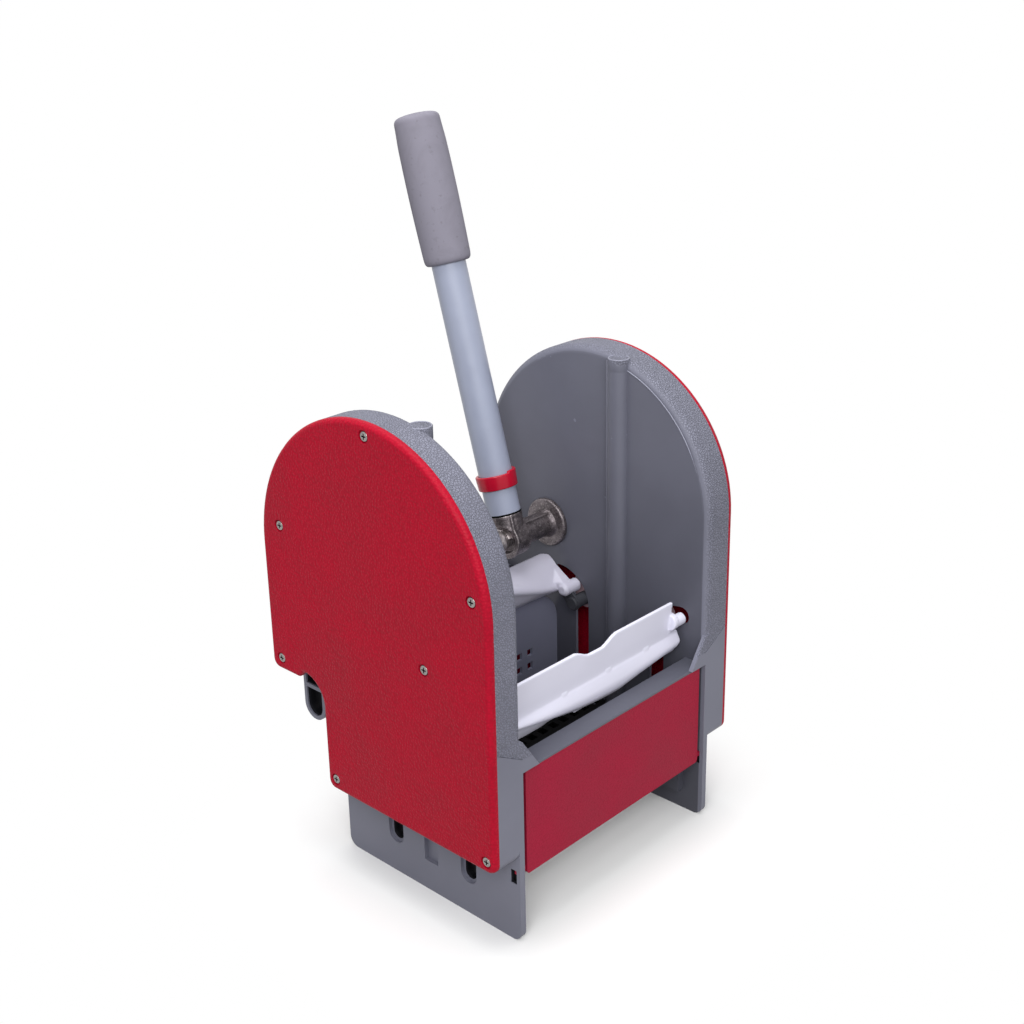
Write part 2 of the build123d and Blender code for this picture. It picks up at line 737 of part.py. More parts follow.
# Carriage: a plate across both jaw pins, a sleeve on the guide rod and a rack for the sector
def rack_points():
    """The rack's outline: a straight back, and teeth that face the gear."""
    tooth_width = tooth_pitch / 2 - backlash / 2
    slope = math.tan(math.radians(pressure_angle))
    tip_half = tooth_width / 2 - addendum * slope
    root_half = tooth_width / 2 + dedendum * slope
    root_y = pitch_line_y - dedendum
    tip_y = pitch_line_y + addendum
    back_y = root_y - rack_back_width
    teeth = range(-2, math.ceil(press_travel / tooth_pitch) + 2)
    points = []
    for index in teeth:
        middle = shaft_z + (index + 0.5) * tooth_pitch
        points.append((root_y, middle - root_half))
        points.append((tip_y, middle - tip_half))
        points.append((tip_y, middle + tip_half))
        points.append((root_y, middle + root_half))
    top = points[-1][1] + tooth_module
    return [(back_y, rack_bottom), (root_y, rack_bottom)] + points + [(root_y, top), (back_y, top)]


with BuildPart() as right_carriage:
    with BuildSketch(side_plane(carriage_in)):
        with Locations((basin_mid_y, carriage_bottom)):
            plate_length = 2 * (pin_half_spacing + carriage_overhang)
            plate_height = carriage_top - carriage_bottom
            RectangleRounded(plate_length, plate_height, carriage_corner, align=(Align.CENTER, Align.MIN))
    extrude(amount=carriage_thickness)
    with BuildSketch(side_plane(carriage_in)):
        with Locations((basin_mid_y, pin_rest_z)):
            with GridLocations(2 * pin_half_spacing, 1, 2, 1):
                Circle(boss_radius)
    extrude(amount=boss_length)
    with Locations((rod_x, basin_mid_y, carriage_bottom)):
        Cylinder(sleeve_radius, sleeve_top - carriage_bottom, align=(Align.CENTER, Align.CENTER, Align.MIN))
    with BuildSketch(side_plane(carriage_in)):
        with Locations((basin_mid_y, carriage_bottom)):
            Rectangle(sleeve_radius, plate_height, align=(Align.CENTER, Align.MIN))
    extrude(amount=sleeve_radius)
    with BuildSketch(side_plane(gear_in)):
        with BuildLine():
            Polyline(*rack_points(), close=True)
        make_face()
    extrude(amount=gear_width)
    with BuildSketch(side_plane(carriage_in)):
        with Locations((pitch_line_y - dedendum, carriage_bottom)):
            Rectangle(rack_back_width, plate_height, align=(Align.MAX, Align.MIN))
    extrude(amount=gear_in - carriage_in)
    with Locations((rod_x, basin_mid_y, carriage_bottom)):
        Cylinder(
            rod_radius + fit_gap, sleeve_top - carriage_bottom, mode=Mode.SUBTRACT,
            align=(Align.CENTER, Align.CENTER, Align.MIN),
        )
    with BuildSketch(side_plane(carriage_in)):
        with Locations((basin_mid_y, pin_rest_z)):
            with GridLocations(2 * pin_half_spacing, 1, 2, 1):
                Circle(pin_radius + fit_gap)
    extrude(amount=gear_out - carriage_in, mode=Mode.SUBTRACT)

# Lever casting: cross shaft with a flange at each wall and a socket for the tube
with BuildPart() as lever_shaft:
    flange_out = inner_half - slack
    for side in (-1, 1):
        with BuildSketch(side_plane(0)):
            with Locations((shaft_y, shaft_z)):
                Circle(shaft_radius)
        extrude(amount=side * flange_out)
        with BuildSketch(side_plane(side * flange_out)):
            with Locations((shaft_y, shaft_z)):
                Circle(flange_radius)
        extrude(amount=-side * flange_thickness)
    flange_rims = edges().filter_by(GeomType.CIRCLE).filter_by(lambda e: e.radius > flange_radius - fit_gap)
    fillet(flange_rims, flange_edge)
    for side in (-1, 1):
        with BuildSketch(side_plane(side * flange_out)):
            with Locations((shaft_y, shaft_z)):
                Circle(journal_radius)
        extrude(amount=side * (gear_in - gear_gap / 2 - flange_out))
        with BuildSketch(side_plane(side * (gear_in - gear_gap / 2))):
            with Locations((shaft_y, shaft_z)):
                Rectangle(square_side, square_side)
        extrude(amount=side * (gear_width + gear_gap / 2 - slack))
    with BuildSketch(side_plane(lever_x)):
        with Locations((shaft_y, shaft_z)):
            Circle(socket_web_radius)
    extrude(amount=socket_radius, both=True)
    with BuildSketch(lever_plane):
        Circle(socket_radius)
    extrude(amount=socket_end)
    with BuildSketch(lever_plane):
        Circle(spigot_radius)
    extrude(amount=spigot_end)
    for side in (-1, 1):
        with BuildSketch(side_plane(side * gear_out)):
            with Locations((shaft_y, shaft_z)):
                Circle(end_screw_radius + fit_gap)
        extrude(amount=-side * end_screw_length, mode=Mode.SUBTRACT)
    with BuildSketch(lever_profile):
        with Locations((0, tube_pin_height)):
            Circle(tube_pin_radius + fit_gap)
    extrude(amount=2 * tube_radius, both=True, mode=Mode.SUBTRACT)

# Lever tube, open at both ends
with BuildPart() as lever_tube:
    with BuildSketch(lever_plane.offset(socket_end)):
        Circle(tube_radius)
        Circle(tube_radius - tube_wall, mode=Mode.SUBTRACT)
    extrude(amount=tube_end - socket_end)
    with BuildSketch(lever_profile):
        with Locations((0, tube_pin_height)):
            Circle(tube_pin_radius + fit_gap)
    extrude(amount=2 * tube_radius, both=True, mode=Mode.SUBTRACT)

# Pin through the tube and its spigot
with BuildPart() as tube_pin:
    with BuildSketch(lever_profile):
        with Locations((0, tube_pin_height)):
            Circle(tube_pin_radius)
    extrude(amount=tube_radius - slack, both=True)

# Collar that rings the tube
with BuildPart() as lever_collar:
    with BuildSketch(lever_plane.offset(collar_start)):
        Circle(tube_radius + collar_thickness)
        Circle(tube_radius + fit_gap, mode=Mode.SUBTRACT)
    extrude(amount=collar_end - collar_start)
    outer_rims = edges().filter_by(GeomType.CIRCLE).filter_by(lambda e: e.radius > tube_radius + slack)
    fillet(outer_rims, collar_edge)

# Grip: fullest at its middle, with soft ends and a closed top
with BuildPart() as lever_grip:
    grip_mid = (grip_start + grip_end) / 2
    with BuildSketch(lever_profile) as grip_face:
        with BuildLine():
            bottom_rim = (grip_bottom_radius, grip_start + grip_edge)
            top_rim = (grip_top_radius, grip_end - grip_edge)
            bore = tube_radius + fit_gap
            Line((bore, grip_start), (grip_bottom_radius - grip_edge / 2, grip_start))
            ThreePointArc(
                (grip_bottom_radius - grip_edge / 2, grip_start),
                (grip_bottom_radius - grip_edge / 6, grip_start + grip_edge / 3),
                bottom_rim,
            )
            ThreePointArc(bottom_rim, (grip_mid_radius, grip_mid), top_rim)
            ThreePointArc(
                top_rim,
                (grip_top_radius - grip_edge / 3, grip_end - grip_edge / 3),
                (grip_top_radius - grip_edge, grip_end),
            )
            Line((grip_top_radius - grip_edge, grip_end), (0, grip_end))
            Line((0, grip_end), (0, tube_end + slack))
            Line((0, tube_end + slack), (bore, tube_end + slack))
            Line((bore, tube_end + slack), (bore, grip_start))
        make_face()
    revolve(axis=lever_axis)


def end_webs(low_y, low_z, low_radius):
    """A web at each end of a jaw, from the pin's hub to a rounded end, bored for the pin."""
    for side in (-1, 1):
        with BuildSketch(side_plane(side * jaw_half_length)) as web_face:
            with Locations((pin_back_y, pin_rest_z)):
                Circle(jaw_hub_radius)
            with Locations((low_y, low_z)):
                Circle(low_radius)
            make_hull()
        extrude(web_face.sketch, amount=-side * jaw_web)
        with BuildSketch(side_plane(side * jaw_half_length)) as bore_face:
            with Locations((pin_back_y, pin_rest_z)):
                Circle(pin_radius + fit_gap)
        extrude(bore_face.sketch, amount=-side * jaw_web, mode=Mode.SUBTRACT)


# Back jaw: a flat press plate hung from a web at each end, with a nub towards the slot
with BuildPart() as back_jaw:
    lean = math.atan2(jaw_tip_y - jaw_fold_y, jaw_tip_z - jaw_fold_z)
    thick_y = jaw_plate * math.cos(lean)
    thick_z = jaw_plate * math.sin(lean)
    with BuildSketch(side_plane(-jaw_half_length)):
        with BuildLine():
            Polyline(
                (jaw_fold_y, jaw_fold_z),
                (jaw_tip_y, jaw_tip_z),
                (jaw_tip_y - thick_y, jaw_tip_z + thick_z),
                (jaw_fold_y - thick_y, jaw_fold_z + thick_z),
                close=True,
            )
        make_face()
    extrude(amount=2 * jaw_half_length)
    # notch in the top edge that clears the mop's handle
    with BuildSketch(Plane.XZ.offset(-jaw_tip_y - jaw_plate)):
        with BuildLine():
            notch_floor = jaw_tip_z - notch_depth
            notch_top = jaw_tip_z + jaw_plate
            Line((-notch_half, notch_top), (-notch_half, jaw_tip_z + thick_z))
            Spline(
                (-notch_half, jaw_tip_z + thick_z), (-notch_flat_half, notch_floor),
                tangents=((1, -0.3), (1, 0)),
            )
            Line((-notch_flat_half, notch_floor), (notch_flat_half, notch_floor))
            Spline(
                (notch_flat_half, notch_floor), (notch_half, jaw_tip_z + thick_z),
                tangents=((1, 0), (1, 0.3)),
            )
            Line((notch_half, jaw_tip_z + thick_z), (notch_half, notch_top))
            Line((notch_half, notch_top), (-notch_half, notch_top))
        make_face()
    extrude(amount=4 * jaw_plate, mode=Mode.SUBTRACT)
    end_webs(nub_y, nub_z, nub_radius)
    for side in (-1, 1):
        with BuildSketch(side_plane(side * jaw_half_length)):
            with Locations((nub_y, nub_z)):
                Circle(nub_radius)
        extrude(amount=side * (inner_half - jaw_half_length - slack))

# Belly of the front jaw, thicker at mid length, drawn where the back jaw stands
with BuildPart() as jaw_belly:
    with BuildSketch(Plane.XY.offset(jaw_belly_z)):
        with BuildLine():
            Line((-jaw_half_length, jaw_belly_y), (-jaw_half_length, jaw_belly_y + jaw_belly_end))
            ThreePointArc(
                (-jaw_half_length, jaw_belly_y + jaw_belly_end),
                (0, jaw_belly_y + jaw_belly_mid),
                (jaw_half_length, jaw_belly_y + jaw_belly_end),
            )
            Line((jaw_half_length, jaw_belly_y + jaw_belly_end), (jaw_half_length, jaw_belly_y))
            Line((jaw_half_length, jaw_belly_y), (-jaw_half_length, jaw_belly_y))
        make_face()
    revolve(axis=Axis((0, jaw_belly_y, jaw_belly_z), (1, 0, 0)))
    # the belly stops at the fold, and its inner side is flat
    with Locations((0, jaw_fold_y - thick_y, jaw_fold_z)):
        Box(
            2 * jaw_half_length - 2 * jaw_web, 2 * jaw_belly_mid, 2 * jaw_belly_mid, mode=Mode.SUBTRACT,
            align=(Align.CENTER, Align.MAX, Align.MIN),
        )
    with Locations((0, jaw_belly_y - jaw_belly_end, jaw_belly_z)):
        Box(
            2 * jaw_half_length - 2 * jaw_web, 2 * jaw_belly_mid, 4 * jaw_belly_mid, mode=Mode.SUBTRACT,
            align=(Align.CENTER, Align.MAX, Align.CENTER),
        )
    end_webs(jaw_belly_y, jaw_belly_z, jaw_belly_end)

# Jaw pins, from the web through the slot and the carriage
with BuildPart() as back_jaw_pins:
    for side in (-1, 1):
        pin_start = jaw_half_length - jaw_web
        pin_length = boss_out + 2 * clip_thickness + slack - pin_start
        with BuildSketch(side_plane(side * pin_start)):
            with Locations((pin_back_y, pin_rest_z)):
                Circle(pin_radius)
        extrude(amount=side * pin_length)
    chamfer(edges().filter_by(GeomType.CIRCLE), pin_chamfer)

# Retaining rings on the pins' outer ends
with BuildPart() as back_jaw_clips:
    for side in (-1, 1):
        with BuildSketch(side_plane(side * (boss_out + slack))):
            with Locations((pin_back_y, pin_rest_z)):
                Circle(clip_radius)
                Circle(pin_radius + fit_gap, mode=Mode.SUBTRACT)
        extrude(amount=side * clip_thickness)

# The front jaw mirrors the back one across the basin's middle, with the belly added
with BuildPart() as front_jaw:
    mirror(back_jaw.part, about=jaw_mirror)
    mirror(jaw_belly.part, about=jaw_mirror)

# Its pins and rings mirror the back ones
back_set = {
    "jaw_pins": back_jaw_pins,
    "jaw_clips": back_jaw_clips,
}

# The left side mirrors the right one
right_set = {
    "side_frame": right_side_frame,
    "cover": right_cover,
    "cover_screws": right_cover_screws,
    "frame_screws": right_frame_screws,
    "shaft_bush": right_shaft_bush,
    "guide_rod": right_guide_rod,
    "sector_gear": right_sector_gear,
    "gear_washer": right_gear_washer,
    "gear_screw": right_gear_screw,
    "carriage": right_carriage,
}
nodes = {
    "front_rail": front_rail,
    "front_panel": front_panel,
    "front_wall": front_wall,
    "back_wall": back_wall,
    "back_panel": back_panel,
    "drain_floor": drain_floor,
    "lever_shaft": lever_shaft,
    "lever_tube": lever_tube,
    "tube_pin": tube_pin,
    "lever_collar": lever_collar,
    "lever_grip": lever_grip,
    "back_jaw": back_jaw,
    "front_jaw": front_jaw,
}
for name, piece in back_set.items():
    with BuildPart() as front_piece:
        mirror(piece.part, about=jaw_mirror)
    nodes["back_" + name] = piece
    nodes["front_" + name] = front_piece
for name, piece in right_set.items():
    with BuildPart() as left_piece:
        mirror(piece.part, about=Plane.YZ)
    nodes["right_" + name] = piece
    nodes["left_" + name] = left_piece

os.makedirs("parts", exist_ok=True)
for name, piece in nodes.items():
    piece.part.label = name
    export_step(piece.part, "parts/" + name + ".step")
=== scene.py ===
import json
import math
import bpy
from mathutils import Matrix, Vector


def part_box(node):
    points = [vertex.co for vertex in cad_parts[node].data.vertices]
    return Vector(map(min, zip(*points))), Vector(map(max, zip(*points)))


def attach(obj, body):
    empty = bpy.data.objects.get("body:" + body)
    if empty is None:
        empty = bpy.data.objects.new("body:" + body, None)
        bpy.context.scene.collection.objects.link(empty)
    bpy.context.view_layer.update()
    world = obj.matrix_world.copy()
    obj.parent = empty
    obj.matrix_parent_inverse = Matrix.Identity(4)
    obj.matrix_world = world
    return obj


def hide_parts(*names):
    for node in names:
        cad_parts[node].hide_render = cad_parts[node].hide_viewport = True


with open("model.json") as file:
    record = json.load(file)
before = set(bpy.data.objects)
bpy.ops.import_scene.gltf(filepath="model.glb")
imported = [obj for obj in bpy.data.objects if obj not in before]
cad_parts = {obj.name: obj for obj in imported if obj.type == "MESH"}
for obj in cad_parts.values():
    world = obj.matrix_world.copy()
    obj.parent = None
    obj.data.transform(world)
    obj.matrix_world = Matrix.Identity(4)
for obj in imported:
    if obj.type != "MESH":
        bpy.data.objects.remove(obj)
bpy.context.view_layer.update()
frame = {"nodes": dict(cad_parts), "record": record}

# A down-press mop wringer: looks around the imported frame. Metres; -Y is the front, +Z is up.
MM = 0.001
nodes = frame["nodes"]
joints = {joint["name"]: joint for joint in frame["record"]["behaviour"]["joints"]}
_, LEVER_Y, LEVER_Z = joints["lever_swing"]["pos_m"]

# Places on the side frames and the casting that the materials follow
side_low, side_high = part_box("right_side_frame")
INNER_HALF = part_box("back_wall")[1].x
COVER_JOINT = side_high.x
SIDE_RADIUS = -side_low.y
ARCH_Z = side_high.z - SIDE_RADIUS
RIM_FRONT_Y = 4 * MM - SIDE_RADIUS
SEAM_INNER_Z = 158 * MM
SEAM_OUTER_Z = 173 * MM
# heights over which the painted shade between the sides lightens upward
SHADE_LOW_Z = 120 * MM
SHADE_HIGH_Z = 320 * MM
# the stretch of the casting's left arm that painted light brightens
LIT_ARM_X = 50 * MM
LIT_ARM_HALF = 8.5 * MM
LIT_ARM_RADIUS = 11.3 * MM
# boxes of painted shade, mirrored across X, in mm: the two foot slots, the hook pocket and the snap hole
SHADED_POCKET_BOXES = (
    ((107.5, 6.3, 20), (114.4, 20.3, 67)),
    ((107.5, -76.7, 20), (114.4, -62.7, 67)),
    ((105.5, 100, 107), (114.5, 120, 161)),
    ((112.2, -121.6, 50.9), (117.0, -115.4, 63.1)),
)


# Colour and shader helpers
def linear(text):
    """An sRGB hex colour as linear RGBA."""
    shares = [int(text[i:i + 2], 16) / 255 for i in (1, 3, 5)]
    return [c / 12.92 if c <= 0.04045 else ((c + 0.055) / 1.055) ** 2.4 for c in shares] + [1.0]


def put(tree, kind, inputs=None, **settings):
    """Add one shader node; an input given as a socket is linked, any other is set."""
    node = tree.nodes.new("ShaderNode" + kind)
    for name, value in settings.items():
        setattr(node, name, value)
    for name, value in (inputs or {}).items():
        if isinstance(value, bpy.types.NodeSocket):
            tree.links.new(value, node.inputs[name])
        else:
            node.inputs[name].default_value = value
    return node


def blank(name):
    """A new material, its empty node tree and the Object coordinates that its patterns lie on."""
    material = bpy.data.materials.new(name)
    material.use_nodes = True
    tree = material.node_tree
    tree.nodes.clear()
    return material, tree, put(tree, "TexCoord").outputs["Object"]


def surfaced(material, inputs):
    """The material, closed with a Principled shader that has these inputs."""
    tree = material.node_tree
    shader = put(tree, "BsdfPrincipled", inputs)
    put(tree, "OutputMaterial", {"Surface": shader.outputs[0]})
    return material


def per_metre(size_mm):
    """A texture scale whose cells are about size_mm across on coordinates in metres."""
    return 1 / (size_mm * MM)


# Materials
POLYPROPYLENE_IOR = 1.49
# most of a noise's values lie in this span
NOISE_SPAN = {"From Min": 0.3, "From Max": 0.7}


def pebbled_polypropylene(name, colour, grain_mm, grain_depth_mm, roughness):
    """Red moulded polypropylene: a satin skin with a fine pebbled mould grain."""
    flow_mm = 60
    grit_mm = 0.9
    grit_depth_mm = 0.06
    material, tree, place = blank(name)
    tone = put(tree, "TexNoise", {"Vector": place, "Scale": per_metre(flow_mm), "Detail": 3.0}).outputs["Fac"]
    pebble = put(tree, "TexVoronoi", {"Vector": place, "Scale": per_metre(grain_mm), "Randomness": 0.75,
                                      "Smoothness": 0.6}, feature="SMOOTH_F1").outputs["Distance"]
    grit = put(tree, "TexNoise", {"Vector": place, "Scale": per_metre(grit_mm), "Detail": 2.0}).outputs["Fac"]
    shade = put(tree, "MapRange", {"Value": tone, **NOISE_SPAN, "To Min": 0.9,
                                   "To Max": 1.08}).outputs["Result"]
    valley = put(tree, "MapRange", {"Value": pebble, "From Min": 0.2, "From Max": 0.75, "To Min": 1.04,
                                    "To Max": 0.84}).outputs["Result"]
    shade = put(tree, "Math", {0: shade, 1: valley}, operation="MULTIPLY").outputs[0]
    tinted = put(tree, "VectorMath", {0: linear(colour)[:3], "Scale": shade}, operation="SCALE").outputs[0]
    rough = put(tree, "MapRange", {"Value": tone, **NOISE_SPAN, "To Min": roughness - 0.05,
                                   "To Max": roughness + 0.07}).outputs["Result"]
    grain = put(tree, "Bump", {"Height": pebble, "Strength": 1.0, "Distance": grain_depth_mm * MM},
                invert=True).outputs[0]
    fine = put(tree, "Bump", {"Height": grit, "Strength": 0.5, "Distance": grit_depth_mm * MM,
                              "Normal": grain}).outputs[0]
    return surfaced(material, {"Base Color": tinted, "Roughness": rough, "Normal": fine,
                               "IOR": POLYPROPYLENE_IOR, "Specular IOR Level": 0.14})


def grained_rim(tree, across, y, z):
    """1 on the outer face of a side's rim above the seam, and 0 elsewhere."""
    over = put(tree, "Math", {0: z, 1: ARCH_Z}, operation="SUBTRACT").outputs[0]
    over = put(tree, "Math", {0: over, 1: 0.0}, operation="MAXIMUM").outputs[0]
    flat = put(tree, "CombineXYZ", {0: y, 1: over}).outputs[0]
    reach = put(tree, "VectorMath", {0: flat}, operation="LENGTH").outputs["Value"]
    on_rim = put(tree, "MapRange", {"Value": reach, "From Min": SIDE_RADIUS - 4 * MM,
                                    "From Max": SIDE_RADIUS - 1 * MM}).outputs["Result"]
    rise = put(tree, "MapRange", {"Value": across, "From Min": INNER_HALF, "From Max": COVER_JOINT,
                                  "To Min": SEAM_INNER_Z, "To Max": SEAM_OUTER_Z}).outputs["Result"]
    above = put(tree, "Math", {0: z, 1: rise}, operation="GREATER_THAN").outputs[0]
    return put(tree, "Math", {0: on_rim, 1: above}, operation="MULTIPLY").outputs[0]


def outside_boxes(tree, place, boxes):
    """0 inside any of the boxes, whose corners are given in mm, and 1 outside them."""
    unshaded = 1.0
    for low, high in boxes:
        middle = (Vector(low) + Vector(high)) / 2 * MM
        half = (Vector(high) - Vector(low)) / 2 * MM
        off = put(tree, "VectorMath", {0: place, 1: middle}, operation="SUBTRACT").outputs[0]
        off = put(tree, "VectorMath", {0: off}, operation="ABSOLUTE").outputs[0]
        off = put(tree, "VectorMath", {0: off, 1: half}, operation="SUBTRACT").outputs[0]
        off = put(tree, "SeparateXYZ", {0: off})
        far = put(tree, "Math", {0: off.outputs[0], 1: off.outputs[1]}, operation="MAXIMUM").outputs[0]
        far = put(tree, "Math", {0: far, 1: off.outputs[2]}, operation="MAXIMUM").outputs[0]
        outside = put(tree, "Math", {0: far, 1: 0.0}, operation="GREATER_THAN").outputs[0]
        unshaded = put(tree, "Math", {0: outside, 1: unshaded}, operation="MULTIPLY").outputs[0]
    return unshaded


def painted_basin_shade(tree, place, across, y, z):
    """Painted shade on the faces between the sides, darkest low down, with a few pale nicks; 1 elsewhere."""
    nick_mm = 7
    basin_shade = put(tree, "MapRange", {"Value": z, "From Min": SHADE_LOW_Z, "From Max": SHADE_HIGH_Z,
                                  "To Min": 0.41, "To Max": 0.84}).outputs["Result"]
    rim = put(tree, "Math", {0: across, 1: INNER_HALF + 0.2 * MM}, operation="GREATER_THAN").outputs[0]
    front = put(tree, "Math", {0: y, 1: RIM_FRONT_Y}, operation="LESS_THAN").outputs[0]
    rim = put(tree, "Math", {0: rim, 1: front}, operation="MAXIMUM").outputs[0]
    nick = put(tree, "TexNoise", {"Vector": place, "Scale": per_metre(nick_mm), "Detail": 1.0}).outputs["Fac"]
    nick = put(tree, "MapRange", {"Value": nick, "From Min": 0.78, "From Max": 0.82, "To Min": 1.0,
                                  "To Max": 1.5}).outputs["Result"]
    basin_shade = put(tree, "Math", {0: basin_shade, 1: nick}, operation="MULTIPLY").outputs[0]
    return put(tree, "Mix", {"Factor": rim, "A": basin_shade, "B": 1.0}, data_type="FLOAT").outputs["Result"]


def leather_grained_grey(name, colour):
    """Grey moulded polypropylene: leather grain on the rims above the seam, smooth satin elsewhere.

    Painted shade darkens the faces between the sides, most low down, and the deep parts of the foot slots,
    the hook pockets and the snap holes.
    """
    flow_mm = 70
    grain_mm = 1.9
    grain_depth_mm = 0.4
    peel_mm = 3.5
    peel_depth_mm = 0.05
    material, tree, place = blank(name)
    split = put(tree, "SeparateXYZ", {0: place})
    y, z = split.outputs["Y"], split.outputs["Z"]
    across = put(tree, "Math", {0: split.outputs["X"]}, operation="ABSOLUTE").outputs[0]
    mirrored = put(tree, "CombineXYZ", {0: across, 1: y, 2: z}).outputs[0]
    grained = grained_rim(tree, across, y, z)
    unshaded = outside_boxes(tree, mirrored, SHADED_POCKET_BOXES)
    # painted shade on the faces between the sides
    basin_shade = painted_basin_shade(tree, place, across, y, z)
    tone = put(tree, "TexNoise", {"Vector": place, "Scale": per_metre(flow_mm), "Detail": 3.0}).outputs["Fac"]
    cells = put(tree, "TexVoronoi", {"Vector": place, "Scale": per_metre(grain_mm), "Randomness": 1.0},
                feature="DISTANCE_TO_EDGE").outputs["Distance"]
    crease = put(tree, "MapRange", {"Value": cells, "From Min": 0.0, "From Max": 0.18}).outputs["Result"]
    peel = put(tree, "TexNoise", {"Vector": place, "Scale": per_metre(peel_mm), "Detail": 2.0}).outputs["Fac"]
    shade = put(tree, "MapRange", {"Value": tone, **NOISE_SPAN, "To Min": 0.93,
                                   "To Max": 1.07}).outputs["Result"]
    dark = put(tree, "MapRange", {"Value": crease, "To Min": 0.76, "To Max": 1.24}).outputs["Result"]
    dark = put(tree, "Mix", {"Factor": grained, "A": 1.0, "B": dark}, data_type="FLOAT").outputs["Result"]
    # painted shade in the deep parts of the slots, pockets and holes
    pocket_shade = put(tree, "MapRange", {"Value": unshaded, "To Min": 0.09, "To Max": 1.0}).outputs["Result"]
    for factor in (dark, pocket_shade, basin_shade):
        shade = put(tree, "Math", {0: shade, 1: factor}, operation="MULTIPLY").outputs[0]
    tinted = put(tree, "VectorMath", {0: linear(colour)[:3], "Scale": shade}, operation="SCALE").outputs[0]
    rough = put(tree, "MapRange", {"Value": grained, "To Min": 0.4, "To Max": 0.58}).outputs["Result"]
    smooth = put(tree, "Bump", {"Height": peel, "Strength": 0.35, "Distance": peel_depth_mm * MM}).outputs[0]
    grain = put(tree, "Bump", {"Height": crease, "Strength": grained, "Distance": grain_depth_mm * MM,
                               "Normal": smooth}).outputs[0]
    return surfaced(material, {"Base Color": tinted, "Roughness": rough, "Normal": grain,
                               "IOR": POLYPROPYLENE_IOR, "Specular IOR Level": 0.3})


def satin_polypropylene(name, colour, roughness, mottle=0.04, sheen=0.3):
    """Smooth moulded polypropylene: even colour with faint flow marks and a soft sheen."""
    flow_mm = 45
    peel_mm = 4
    peel_depth_mm = 0.05
    material, tree, place = blank(name)
    tone = put(tree, "TexNoise", {"Vector": place, "Scale": per_metre(flow_mm), "Detail": 4.0}).outputs["Fac"]
    peel = put(tree, "TexNoise", {"Vector": place, "Scale": per_metre(peel_mm), "Detail": 2.0}).outputs["Fac"]
    shade = put(tree, "MapRange", {"Value": tone, **NOISE_SPAN, "To Min": 1 - mottle,
                                   "To Max": 1 + mottle}).outputs["Result"]
    tinted = put(tree, "VectorMath", {0: linear(colour)[:3], "Scale": shade}, operation="SCALE").outputs[0]
    rough = put(tree, "MapRange", {"Value": tone, **NOISE_SPAN, "To Min": roughness - 0.05,
                                   "To Max": roughness + 0.05}).outputs["Result"]
    bump = put(tree, "Bump", {"Height": peel, "Strength": 0.3, "Distance": peel_depth_mm * MM}).outputs[0]
    return surfaced(material, {"Base Color": tinted, "Roughness": rough, "Normal": bump,
                               "IOR": POLYPROPYLENE_IOR, "Specular IOR Level": sheen})


def painted_arm_light(tree, place):
    """Painted light on the left arm where it enters the tee, whose side lies in shade; 0 elsewhere."""
    split = put(tree, "SeparateXYZ", {0: place})
    level = put(tree, "CombineXYZ", {0: LIT_ARM_X, 1: split.outputs["Y"], 2: split.outputs["Z"]}).outputs[0]
    off_axis = put(tree, "VectorMath", {0: level, 1: (LIT_ARM_X, LEVER_Y, LEVER_Z)},
                   operation="DISTANCE").outputs["Value"]
    on_arm = put(tree, "Math", {0: off_axis, 1: LIT_ARM_RADIUS}, operation="LESS_THAN").outputs[0]
    # the band of the left arm that gets painted light
    turned = put(tree, "Math", {0: split.outputs["X"], 1: LIT_ARM_X, 2: LIT_ARM_HALF},
                 operation="COMPARE").outputs[0]
    turned = put(tree, "Math", {0: turned, 1: on_arm}, operation="MULTIPLY").outputs[0]
    return put(tree, "Math", {0: turned, 1: 0.7}, operation="MULTIPLY").outputs[0]


